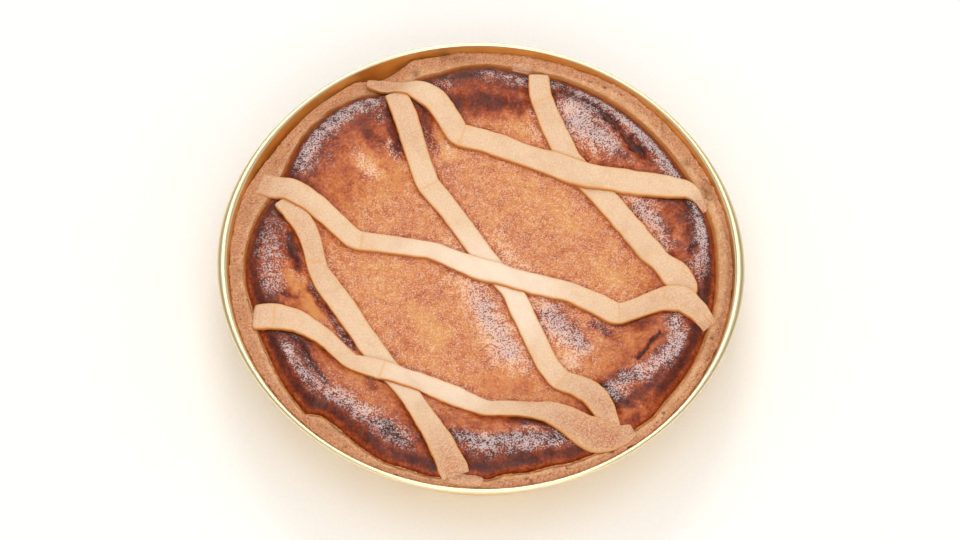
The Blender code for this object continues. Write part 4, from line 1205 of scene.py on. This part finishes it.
def buildStrip(name, route, tree, material):
    stations, stops = stripStations(route)
    way = np.gradient(stations[:, :2], axis=0)
    way /= np.linalg.norm(way, axis=1)[:, None]
    across = np.stack([-way[:, 1], way[:, 0]], axis=1)
    toEnds = (stops, stops[-1] - stops)
    merged = strip["mergedEnds"].get(name, (0.0, 0.0))
    # only an end that lies free has rounded corners
    free = np.min([np.where(length > 0, np.inf, away) for length, away in zip(merged, toEnds)], axis=0)
    wander, size = strip["wander"]
    uneven = lumps(np.stack([stops, 0 * stops + route[0][0], 0 * stops], axis=-1), size, 3)
    corner = np.clip(free / strip["endCorner"], 0, 1)
    half = stations[:, 2] / 2 * (0.8 + 0.2 * np.sqrt(corner * (2 - corner))) + wander * uneven

    def atShares(shares):
        # x and y of places across the strip, by their shares of its half width
        return [stations[:, k:k + 1] + across[:, k:k + 1] * half[:, None] * shares for k in (0, 1)]

    lanes = np.linspace(-1, 1, strip["lanes"])
    under = drapedHeights(tree, *atShares(lanes))
    if name == "stripOverBack":
        under += (strip["flapLift"] * np.clip(1 - stops / strip["flapLength"], 0, 1) ** 1.5)[:, None]
    high = np.full(len(stops), strip["thickness"])
    merge = np.zeros(len(stops))
    for length, away in zip(merged, toEnds):
        if length:
            near = np.clip(away / length, 0, 1)
            high *= strip["endShare"] + (1 - strip["endShare"]) * near
            merge = np.maximum(merge, 1 - near)
    high *= 0.6 + 0.4 * np.sqrt(np.clip(np.minimum(*toEnds) / strip["endThin"], 0, 1))

    u, v, edge = ribbonSection().T
    x, y = atShares(u)
    low = np.array([np.interp(u, lanes, row) for row in under])
    low -= (strip["sunk"] * high / strip["thickness"])[:, None]
    place = np.stack([x, y, low + high[:, None] * v], axis=-1)
    topShare = smoothStep(v, 0.6, 1.0)[None, :] + 0 * x
    dents = lumps(place, strip["dentSize"], 3, len(route))
    grain = lumps(place, strip["grainSize"], 2, 9.0)
    groove = foldsAndCracks(x, y, stations, stops, dents)
    place[..., 2] += topShare * (0.2 * dents + 0.06 * grain - 0.4 * groove)
    sideways = np.sign(u) * (1 - topShare) * (0.25 * dents + 0.12 * grain)
    place[..., :2] += across[:, None, :] * sideways[..., None]
    reach = np.hypot(place[..., 0], place[..., 1])
    place[..., :2] *= np.minimum(1, strip["outermost"] / reach)[..., None]
    points = np.vstack([place.reshape(-1, 3), place[0].mean(axis=0), place[-1].mean(axis=0)])
    faces = [tuple(face)[::-1] for face in closedFaces(*x.shape)]
    # edge colour: the real golden bake of the sides, and painted shade towards the rounded edges of the top
    # and in the folds and cracks
    brown = np.maximum(edge[None, :] * (1 - 0.7 * merge[:, None]), 0.65 * groove * topShare)
    # toast: real toasting at the merged ends, and painted shade on slopes turned from the light
    toast = np.maximum(0.65 * smoothStep(merge, 0.0, 0.75)[:, None], trailField(x, y, strip["toastAndSlopeShade"]))
    fields = {
        "edge": (np.clip(brown, 0, 1), 0.8),
        "toast": (toast, 0.5),
        "paintedSheen": (trailField(x, y, strip["paintedSheen"]), 0.0),
    }
    return makePiece(name, points, faces, material, fields)


def buildLattice():
    dough = shortcrustStrip()
    carriers = [crustCase, fillingBaked]
    tree = treeOf(carriers)
    under = [buildStrip(name, route, tree, dough) for name, route in underStrips.items()]
    tree = treeOf(carriers + under)
    over = [buildStrip(name, route, tree, dough) for name, route in overStrips.items()]
    nodes = ["lattice_under_left", "lattice_under_middle", "lattice_under_right",
             "lattice_over_front", "lattice_over_middle", "lattice_over_back"]
    for piece, node in zip(under + over, nodes):
        handOver(piece, "lattice", node)
    return under + over, treeOf(carriers + under + over), dough


lattice, topTree, stripDough = buildLattice()
print("lattice made,", sum(len(piece.data.polygons) for piece in lattice), "faces")


# Scraps: thin bits of dough left on the rim.
scraps = {
    # piece: (node, azimuth, radius, length, breadth, turn, thickness)
    "doughScrapBack": ("dough_scrap_back", 81.0, 109.6, 10.5, 6.0, 4.0, 0.7),
    "doughFoldFront": ("dough_fold_front", 268.2, 114.3, 16.5, 6.2, -2.0, 1.1),
}
scrapForm = {
    "rings": 9,
    "around": 72,
    "squareness": 5,
    "roughness": 0.06,
    "sunk": 0.5,  # the underside runs this far into the rim
    "drape": 0.75,  # share of the rim's ups and downs that the scrap follows
}


def buildScrap(name, node, azimuth, radius, length, breadth, turn, thickness):
    centre = radius * np.array([math.cos(math.radians(azimuth)), math.sin(math.radians(azimuth))])
    angle = math.radians(azimuth + 90 + turn)
    along = np.array([math.cos(angle), math.sin(angle)])
    out = np.array([-math.sin(angle), math.cos(angle)])
    rings, around, power = scrapForm["rings"], scrapForm["around"], scrapForm["squareness"]
    angles = np.arange(around) * 2 * np.pi / around
    ragged = lumps(turned(3, angles, azimuth), 1.2)
    outline = (np.abs(np.cos(angles)) ** power + np.abs(np.sin(angles)) ** power) ** (-1 / power)
    outline = outline * (1 + scrapForm["roughness"] * ragged)
    top, bottom = [], []
    for share in np.linspace(1, 0.08, rings):
        px = share * outline * np.cos(angles) * length / 2
        py = share * outline * np.sin(angles) * breadth / 2
        plan = centre + px[:, None] * along + py[:, None] * out
        z = np.array([heightUnder(topTree, a, b) for a, b in plan])
        z = scrapForm["drape"] * z + (1 - scrapForm["drape"]) * z.mean()
        dome = thickness * np.sqrt(max(0.0, 1 - share ** 8)) + 0.1
        top.append(np.column_stack([plan, z + dome]))
        bottom.append(np.column_stack([plan, z - scrapForm["sunk"]]))
    points = np.concatenate([*bottom[::-1], *top, [bottom[-1].mean(axis=0)], [top[-1].mean(axis=0)]])
    # a golden underside and lower edge
    golden = np.concatenate([np.full(rings * around, 0.6), np.full(around, 0.35)])
    fields = {"edge": (golden, 0.0), "toast": ([], 0.75)}
    piece = makePiece(name, points, closedFaces(2 * rings, around), stripDough, fields)
    handOver(piece, "lattice", node)


for scrapName, measures in scraps.items():
    buildScrap(scrapName, *measures)
print("scraps made")


# Loose grains: icing sugar that has caked into specks, and crumbs broken off the rim.
grains = {
    # kind: (radius, least distance, most to a square metre, seed, cover)
    "sugar": (0.28, 0.6, 1800000.0, 7, "grainCover"),
    "crumb": (0.7, 2.0, 60000.0, 11, "crumbCover"),
}


def cakedSugar():
    # Icing sugar caked by steam: white and dull, with a pinkish shade where it is thin.
    material, tree, shader, place = newMaterial("cakedIcingSugar")
    frosty = addNode(tree, "ShaderNodeTexNoise",
                     {0: place, "Scale": perMetre(0.8), "Detail": 2.0}).outputs[0]
    tone = addNode(tree, "ShaderNodeValToRGB", {0: frosty}, [(0.3, "#cfbfc2"), (0.7, "#eadfdf")])
    setInputs(tree, shader, {"Base Color": tone.outputs[0], "Roughness": 0.5})
    return material


def grainTree():
    # scatters small uneven grains over the carrier, as thick as its cover attribute says
    sockets = {"Size": "Float", "Apart": "Float", "Density": "Float", "Seed": "Int", "Cover": "String",
               "Finish": "Material"}
    tree, given = newGeometryTree("looseGrains", sockets)
    cover = addNode(tree, "GeometryNodeInputNamedAttribute", {"Name": given["Cover"]}, data_type="FLOAT")
    scatter = addNode(tree, "GeometryNodeDistributePointsOnFaces",
                      {"Mesh": given["Carrier"], "Distance Min": given["Apart"],
                       "Density Max": given["Density"], "Density Factor": cover.outputs["Attribute"],
                       "Seed": given["Seed"]}, distribute_method="POISSON")
    grain = addNode(tree, "GeometryNodeMeshIcoSphere", {"Radius": given["Size"], "Subdivisions": 1})
    # grains are flat, of many sizes, and turned every way
    flat, spin = [addNode(tree, "FunctionNodeRandomValue", {0: least, 1: most, "Seed": given["Seed"]},
                          data_type="FLOAT_VECTOR").outputs[0]
                  for least, most in (((0.35, 0.35, 0.18), (1.0, 1.0, 0.45)), ((0, 0, 0), (0, 0, 6.28)))]
    turn = addNode(tree, "FunctionNodeRotateRotation",
                   {0: scatter.outputs["Rotation"], 1: spin}, rotation_space="LOCAL")
    placed = addNode(tree, "GeometryNodeInstanceOnPoints",
                     {"Points": scatter.outputs["Points"], "Instance": grain.outputs["Mesh"],
                      "Rotation": turn.outputs[0], "Scale": flat})
    return endTree(tree, placed.outputs[0], given["Finish"])


def scatterGrains():
    tree = grainTree()
    carriers = {"sugar": (fillingBaked, "filling", cakedSugar()),
                "crumb": (crustCase, "crust", crustCase.data.materials[0])}
    for kind, (size, apart, density, seed, cover) in grains.items():
        carrier, slot, finish = carriers[kind]
        inputs = {"Size": size * mm, "Apart": apart * mm, "Density": density, "Seed": seed, "Cover": cover,
                  "Finish": finish}
        piece = growPiece(kind + "Grains", carrier, tree, inputs)
        handOver(piece, slot)
        print(kind, "grains made,", len(piece.data.polygons), "faces")


scatterGrains()


ground = {"reach": 2500.0, "level": -0.02}  # a hair under the tin, so that the two never share a plane


def paleCard():
    # Matt card: white pulp with a very faint tooth.
    material, tree, shader, place = newMaterial("paleMattCard")
    tooth = addNode(tree, "ShaderNodeTexNoise", {0: place, "Scale": perMetre(1.5), "Detail": 2.0}).outputs[0]
    tone = addNode(tree, "ShaderNodeValToRGB", {0: tooth}, [(0.3, "#f7f6f4"), (0.7, "#fbfaf8")])
    setInputs(tree, shader, {"Base Color": tone.outputs[0], "Roughness": 0.9})
    return material


def makeFloor():
    reach, level = ground["reach"], ground["level"]
    corners = [(-reach, -reach, level), (reach, -reach, level), (reach, reach, level), (-reach, reach, level)]
    floor = makePiece("floor", corners, [(0, 1, 2, 3)], paleCard())


makeFloor()
